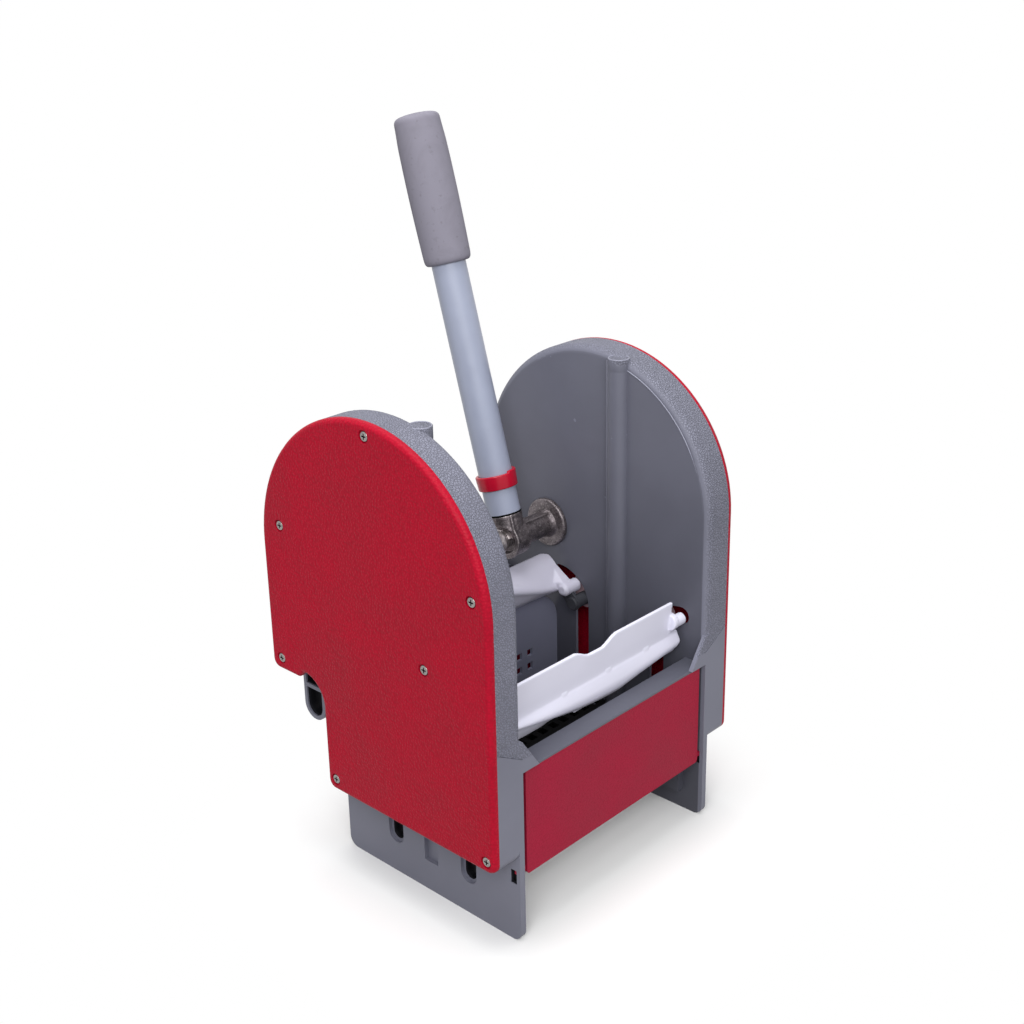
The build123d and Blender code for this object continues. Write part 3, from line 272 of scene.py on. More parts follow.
def rough_casting(name, dark, pale):
    """Iron as it comes from a sand mould: dark and pitted, worn pale on high spots, with painted shade in its
    corners and painted light on its left arm.
    """
    blotch_mm = 9
    blotch_depth_mm = 0.5
    sand_mm = 1.6
    sand_depth_mm = 0.25
    material, tree, place = blank(name)
    blotch = put(tree, "TexNoise", {"Vector": place, "Scale": per_metre(blotch_mm), "Detail": 5.0,
                                    "Roughness": 0.65}).outputs["Fac"]
    sand = put(tree, "TexNoise", {"Vector": place, "Scale": per_metre(sand_mm), "Detail": 4.0,
                                  "Roughness": 0.7}).outputs["Fac"]
    edges = put(tree, "NewGeometry").outputs["Pointiness"]
    worn = put(tree, "MapRange", {"Value": edges, "From Min": 0.52, "From Max": 0.64}).outputs["Result"]
    patch = put(tree, "MapRange", {"Value": sand, "From Min": 0.58, "From Max": 0.74}).outputs["Result"]
    wear_and_arm_light = put(tree, "Math", {0: worn, 1: patch}, operation="MAXIMUM").outputs[0]
    # the pale worn spots also carry the painted light on the left arm
    wear_and_arm_light = put(tree, "Math", {0: wear_and_arm_light, 1: painted_arm_light(tree, place)}, operation="MAXIMUM").outputs[0]
    tone = put(tree, "MapRange", {"Value": blotch, **NOISE_SPAN, "To Min": 0.48,
                                  "To Max": 1.3}).outputs["Result"]
    # painted shade in the concave corners
    crevice_shade = put(tree, "MapRange", {"Value": edges, "From Min": 0.4, "From Max": 0.49,
                                     "To Min": 0.25}).outputs["Result"]
    pit = put(tree, "MapRange", {"Value": sand, "From Min": 0.34, "From Max": 0.5,
                                 "To Min": 0.5}).outputs["Result"]
    for factor in (crevice_shade, pit):
        tone = put(tree, "Math", {0: tone, 1: factor}, operation="MULTIPLY").outputs[0]
    skin = put(tree, "VectorMath", {0: linear(dark)[:3], "Scale": tone}, operation="SCALE").outputs[0]
    colour = put(tree, "Mix", {"Factor": wear_and_arm_light, 6: skin, 7: linear(pale)}, data_type="RGBA").outputs[2]
    rough = put(tree, "MapRange", {"Value": wear_and_arm_light, "To Min": 0.46, "To Max": 0.26}).outputs["Result"]
    lumps = put(tree, "Bump", {"Height": blotch, "Strength": 0.7,
                               "Distance": blotch_depth_mm * MM}).outputs[0]
    grit = put(tree, "Bump", {"Height": sand, "Strength": 0.8, "Distance": sand_depth_mm * MM,
                              "Normal": lumps}).outputs[0]
    return surfaced(material, {"Base Color": colour, "Roughness": rough, "Normal": grit, "Metallic": 0.85})


def powder_coat(name, colour):
    """Baked powder coat on steel tube: even and fairly glossy, with a slight orange peel."""
    peel_mm = 2.2
    peel_depth_mm = 0.03
    scuff_mm = 25
    material, tree, place = blank(name)
    peel = put(tree, "TexNoise", {"Vector": place, "Scale": per_metre(peel_mm), "Detail": 1.0}).outputs["Fac"]
    scuff = put(tree, "TexNoise", {"Vector": place, "Scale": per_metre(scuff_mm), "Detail": 5.0,
                                   "Distortion": 0.6}).outputs["Fac"]
    shade = put(tree, "MapRange", {"Value": scuff, **NOISE_SPAN, "To Min": 0.97,
                                   "To Max": 1.03}).outputs["Result"]
    tinted = put(tree, "VectorMath", {0: linear(colour)[:3], "Scale": shade}, operation="SCALE").outputs[0]
    rough = put(tree, "MapRange", {"Value": scuff, "From Min": 0.35, "From Max": 0.7, "To Min": 0.28,
                                   "To Max": 0.42}).outputs["Result"]
    bump = put(tree, "Bump", {"Height": peel, "Strength": 0.25, "Distance": peel_depth_mm * MM}).outputs[0]
    return surfaced(material, {"Base Color": tinted, "Roughness": rough, "Normal": bump})


def worn_rubber(name, colour, grime):
    """Soft moulded rubber: quite matt, faintly mottled, with smudges from hands and a powdery grain."""
    smudge_mm = 28
    smudge_depth_mm = 0.4
    speck_mm = 5
    grain_mm = 0.8
    grain_depth_mm = 0.08
    material, tree, place = blank(name)
    smudge = put(tree, "TexNoise", {"Vector": place, "Scale": per_metre(smudge_mm), "Detail": 6.0,
                                    "Roughness": 0.6, "Distortion": 0.8}).outputs["Fac"]
    speck = put(tree, "TexNoise", {"Vector": place, "Scale": per_metre(speck_mm),
                                   "Detail": 3.0}).outputs["Fac"]
    grain = put(tree, "TexNoise", {"Vector": place, "Scale": per_metre(grain_mm),
                                   "Detail": 2.0}).outputs["Fac"]
    dirty = put(tree, "MapRange", {"Value": smudge, "From Min": 0.5, "From Max": 0.75,
                                   "To Max": 0.3}).outputs["Result"]
    dotted = put(tree, "MapRange", {"Value": speck, "From Min": 0.62, "From Max": 0.75,
                                    "To Max": 0.5}).outputs["Result"]
    dirty = put(tree, "Math", {0: dirty, 1: dotted}, operation="MAXIMUM").outputs[0]
    mixed = put(tree, "Mix", {"Factor": dirty, 6: linear(colour), 7: linear(grime)},
                data_type="RGBA").outputs[2]
    bump = put(tree, "Bump", {"Height": grain, "Strength": 0.4, "Distance": grain_depth_mm * MM}).outputs[0]
    soft = put(tree, "Bump", {"Height": smudge, "Strength": 0.4, "Distance": smudge_depth_mm * MM,
                              "Normal": bump}).outputs[0]
    return surfaced(material, {"Base Color": mixed, "Normal": soft, "Roughness": 0.82})


def plated_steel(name, colour, roughness, line_mm, face_x=None):
    """Zinc plated or ground steel: bright, with fine turned lines and a slight tarnish.

    On screws whose heads lie at face_x on either side, painted shade darkens the sunk drive.
    """
    tarnish_mm = 4
    line_depth_mm = 0.04
    drive_low_mm = 0.45
    drive_high_mm = 0.25
    material, tree, place = blank(name)
    tarnish = put(tree, "TexNoise", {"Vector": place, "Scale": per_metre(tarnish_mm),
                                     "Detail": 4.0}).outputs["Fac"]
    lines = put(tree, "TexNoise", {"Vector": place, "Scale": per_metre(line_mm),
                                   "Detail": 2.0}).outputs["Fac"]
    shade = put(tree, "MapRange", {"Value": tarnish, **NOISE_SPAN, "To Min": 0.8,
                                   "To Max": 1.08}).outputs["Result"]
    # painted shade in the sunk drive
    if face_x:
        across = put(tree, "SeparateXYZ", {0: place}).outputs["X"]
        across = put(tree, "Math", {0: across}, operation="ABSOLUTE").outputs[0]
        unshaded = put(tree, "MapRange", {"Value": across, "From Min": face_x - drive_low_mm * MM,
                                       "From Max": face_x - drive_high_mm * MM,
                                       "To Min": 0.04}).outputs["Result"]
        shade = put(tree, "Math", {0: shade, 1: unshaded}, operation="MULTIPLY").outputs[0]
    tinted = put(tree, "VectorMath", {0: linear(colour)[:3], "Scale": shade}, operation="SCALE").outputs[0]
    bump = put(tree, "Bump", {"Height": lines, "Strength": 0.3, "Distance": line_depth_mm * MM}).outputs[0]
    return surfaced(material, {"Base Color": tinted, "Normal": bump, "Metallic": 1.0, "Roughness": roughness})


GREY = leather_grained_grey("grey_polypropylene", "#747583")
# a lighter copy of the grey: painted light on the back wall, which stands in shade
GREY_BACK_LIT = satin_polypropylene("grey_back_lit_polypropylene", "#7b7c8f", 0.42)
# a pale copy of the grey: painted highlight along the rim and rib beads
GREY_HIGHLIGHT = satin_polypropylene("painted_highlight_grey_polypropylene", "#8d8e9e", 0.3)
# a darker copy of the grey: painted shade on the front rail
GREY_RAIL_SHADED = satin_polypropylene("grey_rail_shaded_polypropylene", "#575863", 0.42)
# dark grey: painted shade on the jaws' links and pins
LINK_SHADE_GREY = satin_polypropylene("link_shade_grey_polypropylene", "#34353b", 0.6)
RED = pebbled_polypropylene("red_pebbled_polypropylene", "#ae0a29", 2.1, 0.45, 0.5)
RED_PANEL = pebbled_polypropylene("red_panel_polypropylene", "#a01c38", 1.6, 0.12, 0.52)
RED_COLLAR = satin_polypropylene("red_collar_plastic", "#b4102c", 0.25, 0.05)
# near black: painted shade on the drain floor and on the pieces that fill shaded gaps and holes
SHADE_BLACK = satin_polypropylene("shade_black_polypropylene", "#0a0a0b", 0.6, sheen=0.06)
WHITE = satin_polypropylene("white_polypropylene", "#e1e0f0", 0.38, 0.02)
# a darker copy of the white: painted shade on the back jaw
WHITE_BACK_SHADED = satin_polypropylene("white_back_shaded_polypropylene", "#c2c0d0", 0.38, 0.02)
NYLON = satin_polypropylene("dark_nylon", "#333236", 0.45)
CARRIAGE = satin_polypropylene("rose_grey_polypropylene", "#9a8088", 0.45)
CAST = rough_casting("cast_iron_skin", "#7a7275", "#c8c0c0")
TUBE = powder_coat("grey_powder_coat", "#9aa0b4")
RUBBER = worn_rubber("grey_grip_rubber", "#83808d", "#67636b")
ZINC = plated_steel("zinc_plated_steel", "#b9b8b4", 0.3, 0.3)
BRIGHT_ZINC = plated_steel("bright_zinc_steel", "#999693", 0.2, 0.3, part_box("right_cover_screws")[1].x)
GROUND = plated_steel("ground_steel", "#b9babd", 0.22, 0.2)

finishes = {
    GREY: ["left_side_frame", "right_side_frame", "front_wall"],
    GREY_RAIL_SHADED: ["front_rail"],
    GREY_BACK_LIT: ["back_wall"],
    RED: ["left_cover", "right_cover"],
    RED_PANEL: ["front_panel", "back_panel"],
    RED_COLLAR: ["lever_collar"],
    # the drain floor is painted black for the deep shade at the bottom of the basin
    SHADE_BLACK: ["drain_floor"],
    WHITE: ["front_jaw", "back_jaw"],
    NYLON: ["left_shaft_bush", "right_shaft_bush"],
    CARRIAGE: ["left_carriage", "right_carriage"],
    LINK_SHADE_GREY: ["front_jaw_pins", "back_jaw_pins"],
    CAST: ["lever_shaft", "left_sector_gear", "right_sector_gear"],
    TUBE: ["lever_tube"],
    RUBBER: ["lever_grip"],
    BRIGHT_ZINC: ["left_cover_screws", "right_cover_screws"],
    ZINC: ["left_frame_screws", "right_frame_screws", "left_gear_washer", "right_gear_washer",
           "left_gear_screw", "right_gear_screw", "tube_pin"],
    GROUND: ["left_guide_rod", "right_guide_rod", "front_jaw_clips", "back_jaw_clips"],
}
for material, names in finishes.items():
    for name in names:
        nodes[name].data.materials.clear()
        nodes[name].data.materials.append(material)


# Modelling helpers. Sizes are given in mm.
SHARP_DEGREES = 50


def alone(*pieces):
    """Select these pieces and nothing else, with the first one active."""
    bpy.ops.object.select_all(action="DESELECT")
    for piece in pieces:
        piece.select_set(True)
    if pieces:
        bpy.context.view_layer.objects.active = pieces[0]


def settle(piece):
    """Put a piece's place, turn and size into its mesh."""
    alone(piece)
    bpy.ops.object.transform_apply(location=True, rotation=True, scale=True)
    return piece


def facing(direction):
    """The turn that points a primitive's own Z along a direction."""
    return direction.to_track_quat("Z", "Y").to_euler()


def rod(start, end, radius, end_radius=None, sides=64):
    """A round bar between two points, which may taper."""
    start, end = Vector(start) * MM, Vector(end) * MM
    along = end - start
    alone()
    bpy.ops.mesh.primitive_cone_add(
        vertices=sides, radius1=radius * MM, radius2=(end_radius or radius) * MM, depth=along.length,
        location=(start + end) / 2, rotation=facing(along))
    return settle(bpy.context.object)


def block(middle, size, turn=(0, 0, 0)):
    """A block about its middle."""
    alone()
    bpy.ops.mesh.primitive_cube_add(size=1, location=Vector(middle) * MM, rotation=turn)
    bpy.context.object.scale = Vector(size) * MM
    return settle(bpy.context.object)


def joined(pieces, name):
    """One object made of several."""
    alone(*pieces)
    if len(pieces) > 1:
        bpy.ops.object.join()
    piece = bpy.context.object
    piece.name = name
    piece.data.name = name
    return piece


def finish_with(piece, kind, **settings):
    """Add one modifier and apply it."""
    modifier = piece.modifiers.new(kind.lower(), kind)
    for setting, value in settings.items():
        setattr(modifier, setting, value)
    alone(piece)
    bpy.ops.object.modifier_apply(modifier=modifier.name)


def carve(piece, cutter):
    """Cut one piece out of another and drop the cutter."""
    finish_with(piece, "BOOLEAN", operation="DIFFERENCE", object=cutter, solver="EXACT")
    bpy.data.objects.remove(cutter)


def hull_of(pieces):
    """The tight skin round several pieces."""
    piece = joined(pieces, "hull")
    bpy.ops.object.mode_set(mode="EDIT")
    bpy.ops.mesh.select_all(action="SELECT")
    bpy.ops.mesh.convex_hull()
    bpy.ops.object.mode_set(mode="OBJECT")
    return piece


def face_outward(piece):
    """Turn a piece's faces the same way, outward."""
    alone(piece)
    bpy.ops.object.mode_set(mode="EDIT")
    bpy.ops.mesh.select_all(action="SELECT")
    bpy.ops.mesh.normals_make_consistent(inside=False)
    bpy.ops.object.mode_set(mode="OBJECT")


def moulded(piece, voxel, rounds):
    """Melt joined forms into one skin with soft inner corners."""
    finish_with(piece, "REMESH", mode="VOXEL", voxel_size=voxel * MM)
    finish_with(piece, "SMOOTH", factor=0.5, iterations=rounds)
    alone(piece)
    bpy.ops.object.shade_smooth()


def thickened(piece, thickness):
    """Give an open sleeve its thickness, inward."""
    finish_with(piece, "SOLIDIFY", thickness=thickness * MM, offset=-1, use_even_offset=True)


def rounded(piece, width, segments):
    """Round a piece's sharp edges."""
    finish_with(piece, "BEVEL", width=width * MM, segments=segments, limit_method="ANGLE",
                angle_limit=math.radians(SHARP_DEGREES))


def smooth_below(piece, degrees):
    """Shade a piece smoothly over the edges that turn by less than this."""
    alone(piece)
    bpy.ops.object.shade_smooth_by_angle(angle=math.radians(degrees))


def dress(piece, material, body, slot, *replaced):
    """Give a finished piece its material and body, and hide any nodes that it stands for; the slot is not
    used.
    """
    piece.data.materials.clear()
    piece.data.materials.append(material)
    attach(piece, body)
    if replaced:
        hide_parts(*replaced)


def ease(share):
    """A smooth step from 0 to 1."""
    share = min(1, max(0, share))
    return share * share * (3 - 2 * share)


def along_spline(points, share):
    """A point on a smooth line through the given points, at a share of its length in steps."""
    place = share * (len(points) - 1)
    index = min(int(place), len(points) - 2)
    f = place - index
    a, b = points[max(index - 1, 0)], points[index]
    c, d = points[index + 1], points[min(index + 2, len(points) - 1)]
    return 0.5 * (2 * b + f * (c - a) + f * f * (2 * a - 5 * b + 4 * c - d)
                  + f ** 3 * (3 * b - a - 3 * c + d))


# Lever: its axis leaves the shaft at LEVER_FOOT and leans back by LEVER_TILT
tube_low, tube_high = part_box("lever_tube")
LEVER_TILT = math.radians(15.4)
LEVER_FOOT = Vector(((tube_low.x + tube_high.x) / 2, LEVER_Y, LEVER_Z)) / MM
LEVER_UP = Vector((0, math.sin(LEVER_TILT), math.cos(LEVER_TILT)))
LEVER_FRONT = Vector((0, -math.cos(LEVER_TILT), math.sin(LEVER_TILT)))
ACROSS = Vector((1, 0, 0))
TUBE_RADIUS = 14.75
SPIGOT_START = 10
SPIGOT_END = 70
SPIGOT_RADIUS = 12.2
SOCKET_LIP = 23.4
SOCKET_RADIUS = 14.9
SOCKET_BEAD_RADIUS = 15.3
HUB_LEFT = 7.0
HUB_RIGHT = 10.5
HUB_RADIUS = 16.5
PARTING_RADIUS = 17.2
PARTING_BEAD_RADIUS = 1.0
HOLLOW_RISE = 1.5
HOLLOW_RADII = (15.0, 13.2)
RIGHT_ARM_START = 62
RIGHT_ARM_RADII = (11.4, 11.2)
LEFT_ARM_TIP = 58.4
LEFT_ARM_TIP_RADIUS = 4.5
LEFT_ARM_SHOULDER = 47
LEFT_ARM_SHOULDER_RADIUS = 10.6
LEFT_ARM_START = 40
LEFT_ARM_RADIUS = 10
FLANGE_OUT = 111.7
FLANGE_RADIUS = 22.0
FLANGE_THICKNESS = 4.6
FLANGE_CHAMFER = 1.2
NECK_RADII = (11.4, 13.5)
JOURNAL_END = 121
JOURNAL_RADIUS = 9
SQUARE_MIDDLE = 126
SQUARE_SIZE = (12, 12.2, 12.2)
CAST_VOXEL = 0.7
SAND_GRAIN = 3.2
SAND_DEPTH = 0.6


def by_lever(height):
    """A point on the lever's axis at a height along it."""
    return LEVER_FOOT + LEVER_UP * height


def on_shaft(x):
    """A point on the shaft's axis."""
    return Vector((x, LEVER_FOOT.y, LEVER_FOOT.z))


def casting_tee():
    """The tee's hub and socket with a parting ridge, hollow on the left."""
    socket = rod(by_lever(-2), by_lever(SOCKET_LIP - 1.2), SOCKET_RADIUS)
    hub = rod(LEVER_FOOT - ACROSS * HUB_LEFT, LEVER_FOOT + ACROSS * HUB_RIGHT, HUB_RADIUS)
    ridge = rod(LEVER_FOOT - ACROSS * (HUB_LEFT + 0.2), LEVER_FOOT - ACROSS * (HUB_LEFT - 2), PARTING_RADIUS)
    tee = joined([socket, hub, ridge], "lever_casting")
    moulded(tee, CAST_VOXEL, 1)
    hollow = LEVER_FOOT + LEVER_UP * HOLLOW_RISE
    carve(tee, rod(hollow - ACROSS * 30, hollow - ACROSS * 2, *HOLLOW_RADII))
    return tee


def lever_casting():
    """The cast shaft that carries the tube: the tee, its two arms, the flanges and the square ends."""
    pieces = [casting_tee(), rod(on_shaft(RIGHT_ARM_START), on_shaft(FLANGE_OUT - 1), *RIGHT_ARM_RADII)]
    # the left arm's tip narrows inside the tee's hollow
    tip = on_shaft(LEFT_ARM_TIP) - LEVER_UP * HOLLOW_RISE
    shoulder = on_shaft(LEFT_ARM_SHOULDER)
    pieces.append(rod(tip, shoulder, LEFT_ARM_TIP_RADIUS, LEFT_ARM_SHOULDER_RADIUS))
    pieces.append(rod(shoulder, on_shaft(LEFT_ARM_START), LEFT_ARM_SHOULDER_RADIUS, LEFT_ARM_RADIUS))
    pieces.append(rod(on_shaft(LEFT_ARM_START + 1), on_shaft(1 - FLANGE_OUT), LEFT_ARM_RADIUS))
    flange_steps = (
        (FLANGE_OUT, FLANGE_OUT - 3.6, FLANGE_RADIUS, FLANGE_RADIUS),
        (FLANGE_OUT - 3.4, FLANGE_OUT - FLANGE_THICKNESS, FLANGE_RADIUS, FLANGE_RADIUS - FLANGE_CHAMFER),
        (FLANGE_OUT - 9, FLANGE_OUT - 4, *NECK_RADII),
        (FLANGE_OUT - 1, JOURNAL_END, JOURNAL_RADIUS, JOURNAL_RADIUS),
    )
    for side in (-1, 1):
        for start, end, radius, end_radius in flange_steps:
            pieces.append(rod(on_shaft(side * start), on_shaft(side * end), radius, end_radius))
        pieces.append(block(on_shaft(side * SQUARE_MIDDLE), SQUARE_SIZE))
    ridge_middle = by_lever(SOCKET_LIP / 2) - ACROSS * 6 + LEVER_FRONT * 7.4
    pieces.append(block(ridge_middle, (2.2, 14.6, SOCKET_LIP - 2), (-LEVER_TILT, 0, 0)))
    pieces.append(rod(by_lever(SOCKET_LIP - 4), by_lever(SOCKET_LIP - 1), SOCKET_BEAD_RADIUS))
    pieces.append(rod(by_lever(SPIGOT_START), by_lever(SPIGOT_END), SPIGOT_RADIUS))
    # the parting ridge runs on along the top of the right arm
    bead_start = LEVER_FOOT + Vector((9, -5.5, 11))
    bead_end = LEVER_FOOT + Vector((45, -5.2, 10.6))
    pieces.append(rod(bead_start, bead_end, PARTING_BEAD_RADIUS, sides=16))
    piece = joined(pieces, "lever_casting")
    moulded(piece, CAST_VOXEL, 1)
    sand = bpy.data.textures.new("sand_mould", "CLOUDS")
    sand.noise_scale = SAND_GRAIN * MM
    sand.noise_depth = 3
    finish_with(piece, "DISPLACE", texture=sand, texture_coords="LOCAL", strength=SAND_DEPTH * MM,
                mid_level=0.5)
    dress(piece, CAST, "lever", "cast_metal", "lever_shaft")


def open_ring(start, end, radius, name):
    """A thin open sleeve round the lever's axis."""
    alone()
    bpy.ops.mesh.primitive_cylinder_add(
        vertices=96, radius=radius * MM, depth=(end - start) * MM, end_fill_type="NOTHING",
        location=by_lever((start + end) / 2) * MM, rotation=facing(LEVER_UP))
    return joined([settle(bpy.context.object)], name)


SEAT_START = SOCKET_LIP - 1.5
SEAT_END = SOCKET_LIP + 0.3
SEAT_RADIUS = 15.25
SEAT_THICKNESS = 1.4


def tube_gap_shade():
    """A black ring painting the shadow of the gap where the tube stands on the casting."""
    piece = open_ring(SEAT_START, SEAT_END, SEAT_RADIUS, "tube_gap_shade_ring")
    thickened(piece, SEAT_THICKNESS)
    rounded(piece, 0.4, 3)
    smooth_below(piece, 45)
    dress(piece, SHADE_BLACK, "lever", "bearing_plastic")


COLLAR_START = 45.7
COLLAR_END = 58.2
COLLAR_THICKNESS = 3.2
COLLAR_PLAY = 0.1
COLLAR_STEP = 1.8
COLLAR_DRAFT = 0.8


def lever_collar():
    """The red clip ring, narrower at its foot, whose right half stands a little higher."""
    middle = by_lever((COLLAR_START + COLLAR_END) / 2) * MM
    piece = open_ring(COLLAR_START, COLLAR_END, TUBE_RADIUS + COLLAR_THICKNESS, "lever_collar_ring")
    for vertex in piece.data.vertices:
        from_middle = vertex.co - middle
        height = from_middle.dot(LEVER_UP)
        if height > 0 and from_middle.x > 0:
            vertex.co += LEVER_UP * COLLAR_STEP * MM
        if height < 0:
            vertex.co -= (from_middle - LEVER_UP * height).normalized() * COLLAR_DRAFT * MM
    thickened(piece, COLLAR_THICKNESS - COLLAR_PLAY)
    rounded(piece, 1.1, 4)
    smooth_below(piece, 45)
    dress(piece, RED_COLLAR, "lever", "red_plastic", "lever_collar")


GRIP_START = 242.0
GRIP_END = 368.0
GRIP_RINGS = 40
GRIP_RADIUS = 20.1
GRIP_SWELL = 0.75
GRIP_TAPER = 0.6
# height above the grip's foot and radius, round the foot
GRIP_FOOT = ((0, TUBE_RADIUS + 0.1), (0, 16.4), (0.3, 17.6), (1.0, 18.6), (2.2, 19.4), (3.8, 19.8),
             (5.4, 20.0))
# depth below the grip's top and radius, over the cap
GRIP_CAP = ((6.0, 19.35), (4.4, 18.9), (3.0, 17.9), (2.0, 16.4), (1.3, 14.2), (0.7, 11.0), (0.3, 7.0),
            (0, 2.0))


def grip_outline():
    """Heights and radii of the grip from its foot to its top."""
    length = GRIP_END - GRIP_START
    outline = list(GRIP_FOOT)
    for ring in range(GRIP_RINGS + 1):
        share = ring / GRIP_RINGS
        swell = GRIP_SWELL * math.sin(math.pi * share)
        taper = GRIP_TAPER * ease((share - 0.82) / 0.18)
        outline.append((7 + (length - 15) * share, GRIP_RADIUS + swell - taper))
    return outline + [(length - depth, radius) for depth, radius in GRIP_CAP]


def lever_grip():
    """The soft grip: a thick sleeve with a rounded foot, fullest at the middle, under a shallow domed cap."""
    middle = by_lever(GRIP_START) * MM
    radius = 1.0
    height = 0.0
    alone()
    bpy.ops.mesh.primitive_circle_add(
        vertices=72, radius=radius * MM, location=middle, rotation=facing(LEVER_UP))
    piece = joined([settle(bpy.context.object)], "lever_grip_sleeve")
    bpy.ops.object.mode_set(mode="EDIT")
    bpy.ops.mesh.select_all(action="SELECT")
    for new_height, new_radius in grip_outline():
        bpy.ops.mesh.extrude_edges_move()
        bpy.ops.transform.translate(value=LEVER_UP * (new_height - height) * MM)
        middle = middle + LEVER_UP * (new_height - height) * MM
        bpy.ops.transform.resize(value=[new_radius / radius] * 3, center_override=middle)
        height, radius = new_height, new_radius
    bpy.ops.mesh.select_all(action="SELECT")
    bpy.ops.mesh.fill_holes(sides=0)
    bpy.ops.object.mode_set(mode="OBJECT")
    face_outward(piece)
    bpy.ops.object.shade_smooth()
    dress(piece, RUBBER, "lever", "grip_rubber", "lever_grip")


# Jaws, drawn out from their pins: out is +Y from the back pin and -Y from the front one
JAW_PIN_BACK = joints["back_jaw_swing"]["pos_m"][1] / MM
JAW_PIN_FRONT = joints["front_jaw_swing"]["pos_m"][1] / MM
JAW_PIN_Z = joints["back_jaw_swing"]["pos_m"][2] / MM
WALL_GAP = INNER_HALF / MM - 0.3
JAW_HALF = 104.0
BELLY_HALF = 108.5
JAW_PLATE_HALF = 97.5
JAW_SKIN = 2.8
JAW_COLUMNS = 150
JAW_ROWS = 44
JAW_VOXEL = 0.75
NOTCH_HALF = 26
NOTCH_SLOPE = 20
# places on the jaws as (out, z)
PIN = (0, JAW_PIN_Z)
FRONT_HEEL = (2, JAW_PIN_Z)
FRONT_ROOT = (19, 178)
FRONT_BOSS = (24.6, 184)
FRONT_NUB = (26, 182.5)
FRONT_LOBE = (17, 157.6)
FRONT_MARK = (23.9, 170.4)
FRONT_TAB = (17.2, 146.6)
BACK_CHEEK = (10, 181)
BACK_SHOULDER = (23, 190)
BACK_WEB = (15.4, 184)
BACK_KNOB = (6.8, 178.6)
BACK_KNUCKLE = (12, 178)


def on_front_jaw(x, out, z):
    """A point of the front jaw."""
    return (x, JAW_PIN_FRONT - out, z)


def on_back_jaw(x, out, z):
    """A point of the back jaw."""
    return (x, JAW_PIN_BACK + out, z)


def stub(on_jaw, side, start, end, place, radius, end_radius=None):
    """A round bar across one end of a jaw, at a place given as (out, z)."""
    return rod(on_jaw(side * start, *place), on_jaw(side * end, *place), radius, end_radius)


def jaw_sheet(on_jaw, outline, half_at):
    """A moulded sheet; outline(x) gives the points of its section from the top edge to the bottom one."""
    alone()
    bpy.ops.mesh.primitive_grid_add(x_subdivisions=JAW_COLUMNS, y_subdivisions=JAW_ROWS, size=2)
    sheet = bpy.context.object
    for vertex in sheet.data.vertices:
        down = (1 - vertex.co.y) / 2
        x = vertex.co.x * half_at(down)
        out, z = along_spline(outline(x), down)
        vertex.co = Vector(on_jaw(x, out, z)) * MM
    face_outward(sheet)
    finish_with(sheet, "SOLIDIFY", thickness=JAW_SKIN * MM, offset=0, use_even_offset=True)
    return sheet


def front_outline(x):
    """The front jaw: a flat plate notched for the handle, a faint crease, a belly and a flange behind."""
    notch = 6.8 * ease((NOTCH_HALF - abs(x)) / NOTCH_SLOPE)
    belly_top = 168
    corner = 34
    low = 145.2 + (0.00118 * (corner - x) ** 2 if x < corner else 0.14 * (x - corner))
    deep = belly_top - low
    flange = 152.5 - 7 * ease((-20 - x) / 35)
    return [Vector(p) for p in (
        (26.0, 201.9 - notch), (25.2, 193.0 - notch / 2), (24.3, 183.0), (23.4, 175.0), (23.2, 170.4),
        (24.2, belly_top), (25.8, belly_top - 0.25 * deep), (26.5, belly_top - 0.48 * deep),
        (25.0, belly_top - 0.72 * deep), (21.4, low + 1.6), (18.8, low), (16.2, (low + flange) / 2),
        (13.0, flange))]


def front_half(down):
    """Half the front jaw's length: the belly reaches further than the plate, with slanting ends."""
    reach = JAW_PLATE_HALF + (BELLY_HALF - JAW_PLATE_HALF) * ease((down - 0.22) / 0.09)
    return reach - 8 * ease((down - 0.5) / 0.35)


def front_jaw():
    """The front press jaw, with its hubs, bosses, nubs and lobes, three small marks and a tab."""
    pieces = [jaw_sheet(on_front_jaw, front_outline, front_half)]
    for side in (-1, 1):
        hub = stub(on_front_jaw, side, 96, 103.5, PIN, 9.5)
        root = stub(on_front_jaw, side, 96, 100.5, FRONT_ROOT, 7.5)
        pieces.append(hull_of([hub, root]))
        pieces.append(stub(on_front_jaw, side, 95, 100.4, FRONT_BOSS, 7.6))
        pieces.append(stub(on_front_jaw, side, 96, WALL_GAP, FRONT_NUB, 5.2))
        lobe = stub(on_front_jaw, side, 95, 106, FRONT_LOBE, 7.0)
        heel = stub(on_front_jaw, side, 96, 102.5, FRONT_HEEL, 8)
        pieces.append(hull_of([lobe, heel]))
    for x in (-35, 18, 66):
        pieces.append(block(on_front_jaw(x, *FRONT_MARK), (5.5, 2.8, 2.0)))
    pieces.append(block(on_front_jaw(-10.5, *FRONT_TAB), (14, 3.4, 4.6)))
    piece = joined(pieces, "front_jaw_shell")
    moulded(piece, JAW_VOXEL, 3)
    dress(piece, WHITE, "front_jaw", "white_plastic", "front_jaw")


def back_outline(x):
    """The back jaw: a plate that lies back over the wall, with an arched lip and a flange below it."""
    arch = min(0.74, math.cos(math.pi * x / (2 * JAW_HALF)) ** 2)
    lip = 178.8 + 20 * arch
    notch = 5.0 * ease((NOTCH_HALF - abs(x)) / NOTCH_SLOPE)
    return [Vector(p) for p in (
        (36.5, 203.6 - notch), (31.5, 200.9 - notch), (26.4, 197.2 + 2 * arch - notch / 2),
        (20.3, 190.0 + 9 * arch), (15.6, lip + 4), (13.4, lip), (15.2, lip - 3.0),
        (20.0, 173.6 + 6 * arch), (25.0, 171.2))]


